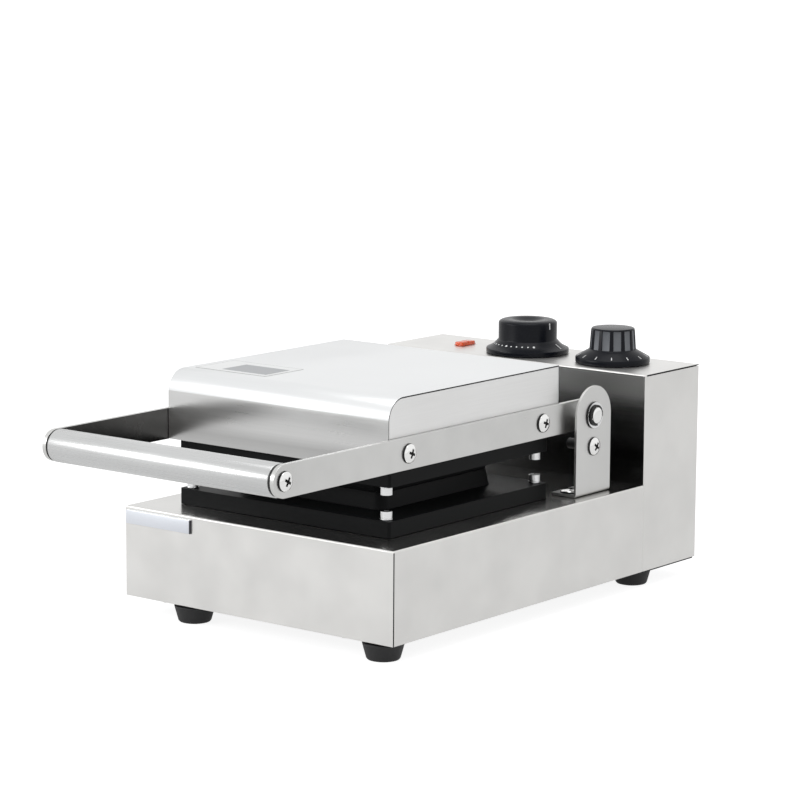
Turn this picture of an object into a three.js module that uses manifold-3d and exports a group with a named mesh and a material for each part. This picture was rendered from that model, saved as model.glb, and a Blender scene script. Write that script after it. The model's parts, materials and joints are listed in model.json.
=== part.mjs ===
// A commercial waffle maker. A folded stainless base carries the lower casting and, behind it, a
// taller control box with two knobs and a pilot lamp. The lid carries the upper casting. It hangs
// between two flat side arms, which hold the handle bar at the front and turn at the back on pins in
// two brackets. A nose on each arm's tail meets a stop screw when the lid stands open.
//
// Millimetres. X runs to the right, Y to the back, Z up. The sizes are measured from the base's
// front face (Y = 0) and its underside (Z = 0). At the end the whole is moved so that its origin is
// the middle of its footprint, on the surface that it stands on.

import * as THREE from "three";
import { mergeVertices } from "three/addons/utils/BufferGeometryUtils.js";
import Module from "manifold-3d";

const wasm = await Module();
wasm.setup();

// Sheet metal and fits
const sheet = 0.8; // thickness of the stainless sheet
const bend = 1.4; // outside radius of a fold
const seam = 0.5; // open seam between two folded panels
const foldedEdgeWidth = 12; // of the edges folded in under the base
const clearance = 0.3; // gap between pieces that seat on or pass through each other
const overrun = 2; // how far a cutting shape runs past what it cuts

// Base and its floor
const baseMargin = 22.5; // lid side to the base's side
const baseHeight = 67.4;
const openRoom = 31.7; // bracket to the control box, for the open lid
const floorInset = 4.6; // how far the floor plate stays inside the base's outline

// Control box
const controlDepth = 73.4;
const controlHeight = 152.1;
const controlFloorInset = 0.5;
const rearRecess = 1; // how far the rear wall sits inside the box's rear edge
const wireHoleWidth = 120; // opening to the base for the wiring
const wireHoleHeight = 36;

// Feet
const footHeight = 12.2;
const footTopRadius = 15;
const footBottomRadius = 12.4;
const footEdge = 2.4; // rounding of the bottom edge
const footHoleRadius = 4;
const footHoleDepth = 6;
const footInsetRight = 19; // foot centre to the side of the base
const footInsetLeft = 55.5;
const footInsetFront = 13.5;
const footInsetRear = 60; // to the rear of the control box

// Castings: the lower and the upper plate are the same casting, the upper one turned over
const plateFlangeAcross = 29; // mould block to the slab's edge
const plateFlangeAlong = 28;
const plateThickness = 11.7;
const plateCorner = 2;
const plateSetback = 29.5; // base front to the slab's front edge
const blockMarginAcross = 14; // cavity to the foot of the mould block
const blockMarginAlong = 14.5;
const blockHeight = 11.9;
const blockCorner = 8;
const partingGap = 0.3; // between the two closed castings
const cavityWidth = 110; // waffle, at the parting plane
const cavityDepth = 104;
const cavityCorner = 5;
const castingFloor = 4.3; // metal left between the cavity and the element's pocket
const pocketHeight = 4; // pocket for the element in the casting's back
const draftAngle = 10; // degrees, on every wall of the mould
const studsPerRow = 4;
const studTopWidth = 12.6;
const studRecess = 4.8; // how far the studs stay below the rim
const padHeight = 1; // seating pads on the upper casting's back
const padRadius = 6;
const windowMargin = 20; // slab edge to the opening behind it

// Heating elements, heat shields and the thermostat's bulb
const elementRadius = 3.25;
const elementMargin = 17; // pocket side to the element's outer runs
const elementTurnMargin = 12; // terminal end to the outside of the turns
const terminalMargin = 6.5; // pocket end to the terminal ends
const shieldHeight = 16;
const shieldFlange = 6;
const bulbRadius = 3;
const bulbLength = 66;

// Cap screws that hold the castings
const capRadius = 4.25;
const capHeight = 5;
const capSocketRadius = 2.3; // to the corners of the hexagonal socket
const capInsetAcross = 7.5; // from the slab's edges
const capInsetAlong = 6;
const capWasherRadius = 4.6;
const capWasherHeight = 1;
const screwRadius = 2.5; // shank of every screw
const capEnd = 4; // how far a cap screw's shank stands out behind the sheet

// Lid
const lidSideOverhang = 4.5; // lid side to the slab's side
const lidHeight = 50.8;
const lidBend = 16.5; // large bend at the front
const lidFrontOverhang = 7.2; // lid front to the slab's front edge
const lidRearOverhang = 7.2;
const panelRecess = 0.3; // how far the side panels sit inside the cover's ends
const panelFlange = 4;

// Arms and handle
const armThickness = 3.5;
const armHeight = 23;
const handleReach = 92.6; // handle axis to the base front
const handleRadius = 11.8;
const handleSpigotRadius = 9; // the bar's ends are turned down where they meet the arms
const handleSpigotLength = 1.3;
const armScrewInsetFront = 11.1; // slab's front edge to the arm screws
const armScrewInsetRear = 18.1;
const trussRadius = 7; // head of the flat round-headed screws
const trussHeight = 2.8;
const armScrewEnd = 8; // how far the arm screws reach into the lid
const handleScrewDepth = 16;

// Hinge brackets, pins and stops
const bracketGap = 12.9; // slab's rear edge to the bracket
const pivotRise = 60.2; // base top to the pivot axis
const bracketWidth = 44.4;
const bracketThickness = 2;
const bracketFoot = 22.5; // how far the bracket's foot reaches inwards
const bracketBend = 2.4; // outside radius
const bracketScrewInset = 7.7; // from the bracket's front and rear edges
const bracketScrewEnd = 5;
const bushRadius = 9;
const bushLength = 6.1;
const pinRadius = 6;
const pinHeadRadius = 8;
const pinHeadHeight = 2.4;
const pinEnd = 4.2; // how far the pin stands out of the bracket
const pinDome = 1; // height of the pin's rounded end
const grooveDepth = 1.2;
const washerRadius = 10;
const washerThickness = 1;
const clipRadius = 8;
const clipRimWidth = 1.6;
const clipThickness = 1;
const clipOpening = 70; // degrees
const clipTab = 26; // degrees that each inner tab of the clip takes
const stopDrop = 23.6; // pivot axis to the stop screw
const stopSleeveRadius = 4;
const stopSleeveLength = 20;
const openAngle = 95; // degrees, lid against its stops
const noseLength = 27; // pivot axis to the end of the arm's tail

// Knobs, lamp and what they turn or show
const knobGap = 0.5; // under a knob
const knobWall = 5.7; // width of the rim that a knob's hollow underside leaves
const knobHollow = 6; // height of the hollow
const spindleRadius = 3;
const spindleLength = 12; // below the knob's underside
const bushingRadius = 5; // threaded neck of the timer and the thermostat
const bushingRise = 3;
const controlNut = 8.5; // width of the neck's shoulder under the box top, halved
const timerPlace = -12.1; // from the middle of the box
const timerSkirtRadius = 32.7;
const timerRim = 3.6;
const timerSkirtHeight = 10.3;
const timerBodyRadius = 23.1;
const timerKnobHeight = 26.3;
const timerEdge = 2.8; // height of the rolled upper edge
const timerEdgeWidth = 6;
const timerDishRadius = 12.5;
const timerDishDepth = 3;
const timerCaseWidth = 46;
const timerCaseHeight = 30;
const thermostatPlace = 69.2;
const thermostatSkirtRadius = 28.9;
const thermostatRim = 4.4;
const thermostatSkirtHeight = 10.5;
const thermostatBodyRadius = 18;
const thermostatTopRadius = 16.8;
const thermostatKnobHeight = 26.9;
const thermostatEdge = 0.8;
const thermostatCaseWidth = 38;
const thermostatCaseHeight = 24;
const flutes = 12;
const fluteWidth = 6.2;
const fluteDepth = 1;
const fluteTurn = 8; // degrees, of the first flute
const fluteEnd = 1.2; // from the top of a flute to the knob's top
const lampWidth = 8.6;
const lampLength = 17.2;
const lampRise = 3;
const lampBevel = 0.7;
const lampBody = 16; // height of the lamp's body below the top sheet
const lampPlace = -74; // from the middle of the box

// Terminal block and cable glands
const terminalWidth = 44;
const terminalDepth = 18;
const terminalHeight = 16;
const glandRadius = 8.5;
const glandFlange = 11;
const glandFlangeHeight = 3;
const glandLength = 13;
const glandBore = 4;
const glandNeck = 6.5;
const glandNeckLength = 8;
const mainsGlandPlace = 80; // left of the middle
const mainsGlandHeight = 30;
const leadGlandPlace = 40; // left of the middle, on the lid and on the control box
const leadGlandRise = 24; // above the lid's lower edge
const leadGlandHeight = 108;

// How many facets round shapes get
const steps = { fine: 32, medium: 16, coarse: 12, corner: 2, bigCorner: 8, element: 40, tube: 3 };

// Places worked out from the sizes above
const blockWidth = cavityWidth + 2 * blockMarginAcross;
const blockDepth = cavityDepth + 2 * blockMarginAlong;
const plateWidth = blockWidth + 2 * plateFlangeAcross;
const plateDepth = blockDepth + 2 * plateFlangeAlong;
const lidWidth = plateWidth + 2 * lidSideOverhang;
const baseWidth = lidWidth + 2 * baseMargin;
const plateRear = plateSetback + plateDepth;
const pivotSetback = plateRear + bracketGap + bracketWidth / 2;
const baseDepth = pivotSetback + bracketWidth / 2 + openRoom;
const bracketScrewSpacing = bracketWidth - 2 * bracketScrewInset;
const baseHalf = baseWidth / 2;
const rearFace = baseDepth + controlDepth;
const floorTop = -clearance;
const floorBottom = floorTop - sheet;
const plateMiddle = plateSetback + plateDepth / 2;
const castingHeight = plateThickness + blockHeight;
const lowerBack = baseHeight + clearance;
const parting = lowerBack + castingHeight + partingGap / 2;
const upperBack = 2 * parting - lowerBack;
const lidBottom = upperBack + padHeight + clearance;
const lidTop = lidBottom + lidHeight;
const lidHalf = lidWidth / 2;
const lidFront = plateSetback - lidFrontOverhang;
const lidRear = plateRear + lidRearOverhang;
const armInner = lidHalf + clearance;
const armOuter = armInner + armThickness;
const pivotHeight = baseHeight + pivotRise;
const bracketInner = armOuter + clearance + bushLength + clearance;
const bracketOuter = bracketInner + bracketThickness;
const bracketScrewX = bracketOuter - bracketFoot / 2;
const capX = plateWidth / 2 - capInsetAcross;
const capY = plateDepth / 2 - capInsetAlong;
const windowWidth = plateWidth - 2 * windowMargin;
const windowDepth = plateDepth - 2 * windowMargin;
const pocketWidth = windowWidth - 2 * shieldFlange;
const pocketDepth = windowDepth - 2 * shieldFlange;
const terminalReach = pocketDepth / 2 - terminalMargin;
const elementReach = terminalReach - elementTurnMargin;
const elementSpacing = (pocketWidth - 2 * elementMargin) / 3; // between its four straight runs
const controlMiddle = baseDepth + controlDepth / 2;
const knobSeat = controlHeight + knobGap;
const armScrews = [plateSetback + armScrewInsetFront, plateRear - armScrewInsetRear];
const sides = [["left", -1], ["right", 1]];
const ends = [["front", -1], ["rear", 1]];
const radians = THREE.MathUtils.degToRad;

// Finishes
const finishes = {
  brushedSteel: { color: 0xc9c8c4, roughness: 0.34, metalness: 1 },
  polishedSteel: { color: 0xd4d4d2, roughness: 0.16, metalness: 1 },
  galvanized: { color: 0x5b5d5e, roughness: 0.6, metalness: 0.8 },
  nonStick: { color: 0x232526, roughness: 0.45, metalness: 0.2 },
  blackPlastic: { color: 0x1d1f21, roughness: 0.38, metalness: 0 },
  rubber: { color: 0x141515, roughness: 0.8, metalness: 0 },
  zinc: { color: 0xb9bbbd, roughness: 0.25, metalness: 1 },
  blackenedSteel: { color: 0x1a1b1c, roughness: 0.5, metalness: 0.7 },
  elementSheath: { color: 0x4a4642, roughness: 0.7, metalness: 0.6 },
  bakelite: { color: 0x2b2724, roughness: 0.5, metalness: 0 },
  ceramic: { color: 0xd9d2c3, roughness: 0.7, metalness: 0 },
  lamp: { color: 0xc8330f, roughness: 0.2, metalness: 0 },
};
for (const name of Object.keys(finishes)) {
  finishes[name] = new THREE.MeshStandardMaterial(finishes[name]);
}

// Solids for cutting and joining

// A closed three.js geometry as a solid, with its faces turned outwards.
function toSolid(geometry) {
  const bare = geometry.clone();
  bare.deleteAttribute("normal");
  bare.deleteAttribute("uv");
  const merged = mergeVertices(bare);
  const corners = [];
  for (let i = 0; i < merged.index.count; i += 3) {
    const [a, b, c] = [0, 1, 2].map((k) => merged.index.getX(i + k));
    if (a !== b && b !== c && c !== a) corners.push(a, b, c);
  }
  const build = (list) => new wasm.Manifold(new wasm.Mesh({
    numProp: 3,
    vertProperties: merged.attributes.position.array,
    triVerts: new Uint32Array(list),
  }));
  const solid = build(corners);
  return solid.volume() < 0 ? build(corners.reverse()) : solid;
}

// A solid as a three.js geometry with flat facets.
function toGeometry(solid) {
  const { vertProperties, triVerts } = solid.getMesh();
  const indexed = new THREE.BufferGeometry();
  indexed.setAttribute("position", new THREE.BufferAttribute(vertProperties, 3));
  indexed.setIndex(new THREE.BufferAttribute(triVerts, 1));
  const geometry = indexed.toNonIndexed();
  geometry.computeVertexNormals();
  return geometry;
}

function join(...solids) {
  return solids.reduce((whole, next) => whole.add(next));
}

function cut(solid, ...cutters) {
  return cutters.reduce((rest, cutter) => rest.subtract(cutter), solid);
}

function block([x0, x1], [y0, y1], [z0, z1]) {
  const geometry = new THREE.BoxGeometry(x1 - x0, y1 - y0, z1 - z0);
  geometry.translate((x0 + x1) / 2, (y0 + y1) / 2, (z0 + z1) / 2);
  return toSolid(geometry);
}

// A closed outline through corners [u, v, radius], with an arc at each corner that has a radius.
function outline(corners) {
  const shape = new THREE.Shape();
  corners.forEach(([u, v, radius = 0], i) => {
    const here = new THREE.Vector2(u, v);
    const before = corners[(i + corners.length - 1) % corners.length];
    const after = corners[(i + 1) % corners.length];
    const back = new THREE.Vector2(before[0], before[1]).sub(here);
    const onward = new THREE.Vector2(after[0], after[1]).sub(here);
    const half = Math.acos(back.dot(onward) / (back.length() * onward.length())) / 2;
    const start = here.clone().add(back.setLength(Math.max(radius, 0) / Math.tan(half)));
    if (i === 0) shape.moveTo(start.x, start.y);
    else shape.lineTo(start.x, start.y);
    if (radius <= 0) return;
    const end = here.clone().add(onward.setLength(radius / Math.tan(half)));
    const turnsLeft = back.cross(onward) < 0;
    const inwards = turnsLeft ? -1 : 1;
    const centre = start.clone().add(
      new THREE.Vector2(-back.y, back.x).setLength(inwards * radius),
    );
    const from = Math.atan2(start.y - centre.y, start.x - centre.x);
    const to = Math.atan2(end.y - centre.y, end.x - centre.x);
    shape.absarc(centre.x, centre.y, radius, from, to, !turnsLeft);
  });
  return shape;
}

function rectangle([u0, u1], [v0, v1], radius = 0) {
  return outline([[u0, v0, radius], [u1, v0, radius], [u1, v1, radius], [u0, v1, radius]]);
}

function circle(radius, u = 0, v = 0) {
  return new THREE.Shape().absarc(u, v, radius, 0, 2 * Math.PI, false);
}

// An outline drawn in (Y, Z), (X, Z) or (X, Y) and extruded along the third axis.
function prism(shape, axis, [from, to], cornerSteps = steps.corner) {
  const geometry = new THREE.ExtrudeGeometry(shape, {
    depth: to - from,
    curveSegments: cornerSteps,
    bevelEnabled: false,
  });
  if (axis === "x") {
    const turn = new THREE.Matrix4().makeBasis(
      new THREE.Vector3(0, 1, 0),
      new THREE.Vector3(0, 0, 1),
      new THREE.Vector3(1, 0, 0),
    );
    geometry.applyMatrix4(turn).translate(from, 0, 0);
  } else if (axis === "y") {
    geometry.rotateX(Math.PI / 2).translate(0, to, 0);
  } else {
    geometry.translate(0, 0, from);
  }
  return toSolid(geometry);
}

// A round hole or bar along an axis, at (u, v) of the other two.
function bar(radius, axis, span, [u, v], around = steps.coarse) {
  return prism(circle(radius, u, v), axis, span, around / 2);
}

// A shape turned about the Z axis from a profile of [radius, height].
function turned(profile, around) {
  const points = profile.map(([radius, height]) => new THREE.Vector2(radius, height));
  return toSolid(new THREE.LatheGeometry(points, around).rotateX(Math.PI / 2));
}

// A pad with rounded corners whose walls lean in by the same distance on all sides as it rises.
function taperedPad(width, depth, corner, [z0, z1], lean) {
  const shape = rectangle([-width / 2, width / 2], [-depth / 2, depth / 2], corner);
  const geometry = new THREE.ExtrudeGeometry(shape, {
    depth: z1 - z0,
    curveSegments: steps.corner,
    bevelEnabled: false,
  });
  const position = geometry.attributes.position;
  for (let i = 0; i < position.count; i++) {
    const risen = position.getZ(i) / (z1 - z0);
    position.setX(i, position.getX(i) * (1 - (risen * 2 * lean) / width));
    position.setY(i, position.getY(i) * (1 - (risen * 2 * lean) / depth));
  }
  return toSolid(geometry.translate(0, 0, z0));
}

// A named piece.
function piece(name, solid, finish) {
  const mesh = new THREE.Mesh(toGeometry(solid), finishes[finish]);
  mesh.name = name;
  return mesh;
}

// A piece made about its own Z axis, put at a place with that axis pointing along a direction.
function placed(name, solid, finish, place, direction = [0, 0, 1]) {
  const mesh = piece(name, solid, finish);
  mesh.position.set(...place);
  mesh.quaternion.setFromUnitVectors(new THREE.Vector3(0, 0, 1), new THREE.Vector3(...direction));
  return mesh;
}

// Base

// The base's volume, inset by some distance, folded at its front and side top edges.
function baseVolume(inset, past) {
  const half = baseHalf - inset;
  const top = baseHeight - inset;
  const back = baseDepth - clearance + past;
  const radius = bend - inset;
  const front = outline([[-half, -past], [half, -past], [half, top, radius], [-half, top, radius]]);
  const side = outline([[inset, -past], [back, -past], [back, top], [inset, top, radius]]);
  return prism(front, "y", [inset, back]).intersect(prism(side, "x", [-half, half]));
}

function baseShell() {
  const back = baseDepth - clearance;
  const foldedIn = cut(
    block([-baseHalf, baseHalf], [0, back], [0, sheet]),
    block(
      [foldedEdgeWidth - baseHalf, baseHalf - foldedEdgeWidth],
      [foldedEdgeWidth, back + overrun],
      [-overrun, sheet + overrun],
    ),
  );
  const cornerSeams = sides.map(([, way]) => block(
    [way * baseHalf - sheet, way * baseHalf + sheet],
    [sheet, sheet + seam],
    [-overrun, baseHeight - bend],
  ));
  const through = [baseHeight - sheet - overrun, baseHeight + overrun];
  const window = prism(
    rectangle(
      [-windowWidth / 2, windowWidth / 2],
      [plateMiddle - windowDepth / 2, plateMiddle + windowDepth / 2],
      plateCorner,
    ),
    "z",
    through,
  );
  const holes = [];
  for (const [, across] of sides) {
    for (const [, along] of ends) {
      const capPlace = [across * capX, plateMiddle + along * capY];
      const bracketPlace = [
        across * bracketScrewX,
        pivotSetback + (along * bracketScrewSpacing) / 2,
      ];
      holes.push(bar(screwRadius + clearance, "z", through, capPlace));
      holes.push(bar(screwRadius + clearance, "z", through, bracketPlace));
    }
  }
  const shell = join(cut(baseVolume(0, 0), baseVolume(sheet, overrun)), foldedIn);
  return piece("base_shell", cut(shell, ...cornerSeams, window, ...holes), "brushedSteel");
}

function baseFloor() {
  const half = baseHalf - floorInset;
  const plate = block([-half, half], [floorInset, baseDepth - clearance], [floorBottom, floorTop]);
  return piece("base_floor", plate, "galvanized");
}

// A tapered rubber foot with a rounded bottom edge and a recess for its screw.
function feet() {
  const lowest = -footHeight;
  const rounded = [0, 1, 2, 3].map((i) => {
    const angle = (i / 3) * (Math.PI / 2);
    return [
      footBottomRadius - footEdge * (1 - Math.cos(angle)),
      lowest + footEdge * (1 - Math.sin(angle)),
    ];
  });
  const profile = [
    [0, 0],
    [footTopRadius, 0],
    ...rounded,
    [footHoleRadius, lowest],
    [footHoleRadius, lowest + footHoleDepth],
    [0, lowest + footHoleDepth],
  ];
  const foot = turned(profile, steps.medium);
  const across = { left: footInsetLeft - baseHalf, right: baseHalf - footInsetRight };
  const along = { front: footInsetFront, rear: rearFace - footInsetRear };
  return ends.flatMap(([end]) => sides.map(([side]) => placed(
    `foot_${end}_${side}`,
    foot,
    "rubber",
    [across[side], along[end], floorBottom - clearance],
  )));
}

// Control box

// The box's volume, inset by some distance, folded at its front corners and front top edge.
function controlVolume(inset, past) {
  const half = baseHalf - inset;
  const top = controlHeight - inset;
  const front = baseDepth + inset;
  const back = rearFace + past;
  const radius = bend - inset;
  const plan = outline([[-half, front, radius], [half, front, radius], [half, back], [-half, back]]);
  const side = outline([[front, -past], [back, -past], [back, top], [front, top, radius]]);
  return prism(plan, "z", [-past, top]).intersect(prism(side, "x", [-half, half]));
}

function controlBoxShell() {
  const topSeams = sides.map(([, way]) => block(
    [way * baseHalf - sheet, way * baseHalf + sheet],
    [baseDepth + bend, rearFace + overrun],
    [controlHeight - sheet - seam, controlHeight - sheet],
  ));
  const throughTop = [controlHeight - sheet - overrun, controlHeight + overrun];
  const throughFront = [baseDepth - overrun, baseDepth + sheet + overrun];
  const wireHole = prism(
    rectangle(
      [-wireHoleWidth / 2, wireHoleWidth / 2],
      [(baseHeight - wireHoleHeight) / 2, (baseHeight + wireHoleHeight) / 2],
      bend,
    ),
    "y",
    throughFront,
  );
  const necks = [timerPlace, thermostatPlace].map((x) => (
    bar(bushingRadius + clearance, "z", throughTop, [x, controlMiddle])
  ));
  const lampHalf = [lampWidth / 2 - lampBevel, lampLength / 2 - lampBevel];
  const lampHole = block(
    [lampPlace - lampHalf[0], lampPlace + lampHalf[0]],
    [controlMiddle - lampHalf[1], controlMiddle + lampHalf[1]],
    throughTop,
  );
  const leadHole = bar(
    glandNeck + clearance,
    "y",
    throughFront,
    [-leadGlandPlace, leadGlandHeight],
  );
  const shell = cut(controlVolume(0, 0), controlVolume(sheet, overrun));
  const whole = cut(shell, ...topSeams, wireHole, ...necks, lampHole, leadHole);
  return piece("control_box_shell", whole, "brushedSteel");
}

// The rear wall and the floor of the control box, one bent sheet.
function controlBoxCover() {
  const back = rearFace - rearRecess;
  const wallHalf = baseHalf - sheet - clearance;
  const floorHalf = baseHalf - controlFloorInset;
  const front = baseDepth + clearance;
  const top = controlHeight - sheet - clearance;
  const section = outline([
    [front, floorBottom],
    [back, floorBottom, bend],
    [back, top],
    [back - sheet, top],
    [back - sheet, floorTop, bend - sheet],
    [front, floorTop],
  ]);
  const floor = block([-floorHalf, floorHalf], [front, back - bend], [floorBottom, floorTop]);
  const glandHole = bar(
    glandNeck + clearance,
    "y",
    [back - sheet - overrun, back + overrun],
    [-mainsGlandPlace, mainsGlandHeight],
  );
  const cover = cut(join(prism(section, "x", [-wallHalf, wallHalf]), floor), glandHole);
  return piece("control_box_cover", cover, "galvanized");
}

// Castings

// One casting, its back at z = 0 and its rim at castingHeight: a slab with a drafted mould block,
// and in it the cavity of half a waffle with its rows of drafted studs.
function casting(pads) {
  const slope = Math.tan(radians(draftAngle));
  const slab = prism(
    rectangle([-plateWidth / 2, plateWidth / 2], [-plateDepth / 2, plateDepth / 2], plateCorner),
    "z",
    [0, plateThickness],
  );
  const rise = [plateThickness - sheet, castingHeight];
  const lean = (rise[1] - rise[0]) * slope;
  const mouldBlock = taperedPad(blockWidth, blockDepth, blockCorner, rise, lean);
  const cavityFloor = pocketHeight + castingFloor;
  const cavityTop = castingHeight + overrun;
  const opening = (cavityTop - cavityFloor) * slope;
  const narrowing = (castingHeight - cavityFloor) * slope;
  const floorWidth = cavityWidth - 2 * narrowing;
  const floorDepth = cavityDepth - 2 * narrowing;
  const cavity = taperedPad(
    floorWidth,
    floorDepth,
    cavityCorner,
    [cavityFloor, cavityTop],
    -opening,
  );
  const pocket = block(
    [-pocketWidth / 2, pocketWidth / 2],
    [-pocketDepth / 2, pocketDepth / 2],
    [-overrun, pocketHeight],
  );
  let whole = cut(join(slab, mouldBlock), cavity, pocket);

  const studTop = castingHeight - studRecess;
  const studLean = (studTop - cavityFloor) * slope;
  const studFoot = studTopWidth + 2 * studLean;
  const stud = taperedPad(studFoot, studFoot, 0, [cavityFloor - castingFloor / 2, studTop], studLean);
  for (let column = 0; column < studsPerRow; column++) {
    for (let row = 0; row < studsPerRow; row++) {
      const x = ((column + 0.5) / studsPerRow - 0.5) * floorWidth;
      const y = ((row + 0.5) / studsPerRow - 0.5) * floorDepth;
      whole = whole.add(stud.translate([x, y, 0]));
    }
  }

  for (const [, across] of sides) {
    for (const [, along] of ends) {
      const place = [across * capX, along * capY];
      if (pads) whole = whole.add(bar(padRadius, "z", [-padHeight, sheet], place));
      const drill = [-padHeight - overrun, plateThickness + overrun];
      whole = whole.subtract(bar(screwRadius + clearance, "z", drill, place));
    }
  }
  return whole;
}

// The middle line of a heating element, laid flat in three turns.
class ElementLine extends THREE.Curve {
  constructor() {
    super();
    const turn = elementSpacing / 2;
    const bendY = elementReach - turn;
    this.route = new THREE.Path();
    this.route.moveTo(-3 * turn, terminalReach);
    this.route.lineTo(-3 * turn, -bendY);
    this.route.absarc(-2 * turn, -bendY, turn, Math.PI, 2 * Math.PI, false);
    this.route.lineTo(-turn, bendY);
    this.route.absarc(0, bendY, turn, Math.PI, 0, true);
    this.route.lineTo(turn, -bendY);
    this.route.absarc(2 * turn, -bendY, turn, Math.PI, 2 * Math.PI, false);
    this.route.lineTo(3 * turn, terminalReach);
  }

  getPoint(t) {
    const point = this.route.getPoint(t);
    return new THREE.Vector3(point.x, point.y, 0);
  }
}

function element() {
  return toSolid(new THREE.ExtrudeGeometry(circle(elementRadius), {
    steps: steps.element,
    curveSegments: steps.tube,
    extrudePath: new ElementLine(),
  }));
}

// A tray that closes in the element, its flange at z = 0 and its bottom below it.
function heatShield() {
  const tray = (half, deep, bottom, top) => block([-half, half], [-deep, deep], [bottom, top]);
  const halfWidth = windowWidth / 2;
  const halfDepth = windowDepth / 2;
  const wide = halfWidth + sheet;
  const deep = halfDepth + sheet;
  const whole = join(
    tray(wide, deep, -shieldHeight, 0),
    tray(wide + shieldFlange, deep + shieldFlange, -sheet, 0),
  );
  return cut(whole, tray(halfWidth, halfDepth, sheet - shieldHeight, overrun));
}

// A cap screw with its spring washer. The washer rests on z = 0 and the shank runs down.
function capScrew(shank) {
  const top = capWasherHeight + capHeight;
  const body = turned(
    [
      [0, -shank],
      [screwRadius, -shank],
      [screwRadius, 0],
      [capWasherRadius, 0],
      [capWasherRadius, capWasherHeight],
      [capRadius, capWasherHeight],
      [capRadius, top],
      [0, top],
    ],
    steps.coarse,
  );
  const socket = toSolid(
    new THREE.CylinderGeometry(capSocketRadius, capSocketRadius, capHeight, 6).rotateX(Math.PI / 2),
  );
  return cut(body, socket.translate([0, 0, top]));
}

// The pieces of one casting's stack, the same ones on the base and in the lid.
function plateStack(level, pads) {
  const group = new THREE.Group();
  const screw = capScrew(plateThickness + clearance + (pads ? padHeight : 0) + sheet + capEnd);
  const shieldPlace = pads ? -clearance : -clearance - sheet - clearance;
  const elementPlace = pocketHeight - clearance - elementRadius;
  group.add(
    piece(`${level}_plate`, casting(pads), "nonStick"),
    placed(`${level}_element`, element(), "elementSheath", [0, 0, elementPlace]),
    placed(`${level}_heat_shield`, heatShield(), "galvanized", [0, 0, shieldPlace]),
  );
  for (const [end, way] of ends) {
    for (const [side, across] of sides) {
      const along = pads ? -way : way;
      const place = [across * capX, along * capY, plateThickness + clearance];
      group.add(placed(`${level}_screw_${end}_${side}`, screw, "zinc", place));
    }
  }
  return group;
}

function lowerStack() {
  const group = plateStack("lower", false);
  group.position.set(0, plateMiddle, lowerBack);
  const bulb = bar(bulbRadius, "y", [-bulbLength / 2, bulbLength / 2], [0, 0]);
  const lift = pocketHeight - clearance - bulbRadius;
  group.add(placed("thermostat_bulb", bulb, "zinc", [0, bulbRadius - elementRadius, lift]));
  return group;
}

function upperStack() {
  const group = plateStack("upper", true);
  group.position.set(0, plateMiddle, upperBack);
  group.rotation.x = Math.PI;
  return group;
}

// Lid

// The lid's outline seen from the side, inset by some distance from the front, top and rear.
function lidOutline(inset, bottom) {
  return outline([
    [lidFront + inset, bottom],
    [lidRear - inset, bottom],
    [lidRear - inset, lidTop - inset, bend - inset],
    [lidFront + inset, lidTop - inset, lidBend - inset],
  ]);
}

// How far the edges folded in at the lid's front and rear reach, past the screws that they hold.
const foldFront = lidFrontOverhang + capInsetAlong + capWasherRadius;
const foldRear = lidRearOverhang + capInsetAlong + capWasherRadius;

function lidCover() {
  const foldHalf = lidHalf - panelRecess - 2 * sheet - clearance;
  const lip = [lidBottom, lidBottom + sheet];
  const shell = cut(
    prism(lidOutline(0, lidBottom), "x", [-lidHalf, lidHalf], steps.bigCorner),
    prism(
      lidOutline(sheet, lidBottom - overrun),
      "x",
      [-lidHalf - overrun, lidHalf + overrun],
      steps.bigCorner,
    ),
  );
  const folds = [
    block([-foldHalf, foldHalf], [lidFront, lidFront + foldFront], lip),
    block([-foldHalf, foldHalf], [lidRear - foldRear, lidRear], lip),
  ];
  const holes = sides.flatMap(([, across]) => ends.map(([, along]) => bar(
    screwRadius + clearance,
    "z",
    [lidBottom - overrun, lidBottom + sheet + overrun],
    [across * capX, plateMiddle + along * capY],
  )));
  const leadHole = bar(
    glandNeck + clearance,
    "y",
    [lidRear - sheet - overrun, lidRear + overrun],
    [-leadGlandPlace, lidBottom + leadGlandRise],
  );
  return piece("lid_cover", cut(join(shell, ...folds), ...holes, leadHole), "brushedSteel");
}

function lidSides() {
  const outer = lidHalf - panelRecess;
  const inner = outer - sheet;
  const flangeSpan = [lidFront + foldFront + seam, lidRear - foldRear - seam];
  return sides.map(([side, way]) => {
    const span = way > 0 ? [inner, outer] : [-outer, -inner];
    const flangeEdge = way > 0 ? [inner - panelFlange, inner] : [-inner, panelFlange - inner];
    const panel = prism(lidOutline(sheet + clearance, lidBottom), "x", span, steps.bigCorner);
    const flange = block(flangeEdge, flangeSpan, [lidBottom, lidBottom + sheet]);
    const holes = armScrews.map((y) => bar(
      screwRadius + clearance,
      "x",
      [span[0] - overrun, span[1] + overrun],
      [y, pivotHeight],
    ));
    return piece(`lid_side_${side}`, cut(join(panel, flange), ...holes), "brushedSteel");
  });
}

// The head of a flat round-headed screw, as the end of a turned profile.
const trussEdgeShare = 0.25; // of the head's height, at its rim
const trussDomeShare = 0.86; // of the head's height, halfway out

function trussHead() {
  return [
    [trussRadius, 0],
    [trussRadius, trussHeight * trussEdgeShare],
    [trussRadius / 2, trussHeight * trussDomeShare],
    [0, trussHeight],
  ];
}

// Such a screw, its head resting on z = 0 and its shank running down.
function trussScrew(shank) {
  return turned(
    [[0, -shank], [screwRadius, -shank], [screwRadius, 0], ...trussHead()],
    steps.medium,
  );
}

// The underside of the arm's nose stands just clear of the stop's sleeve when the lid is open.
function noseUnderside() {
  return -stopDrop * Math.cos(radians(openAngle)) + stopSleeveRadius + clearance;
}

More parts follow.
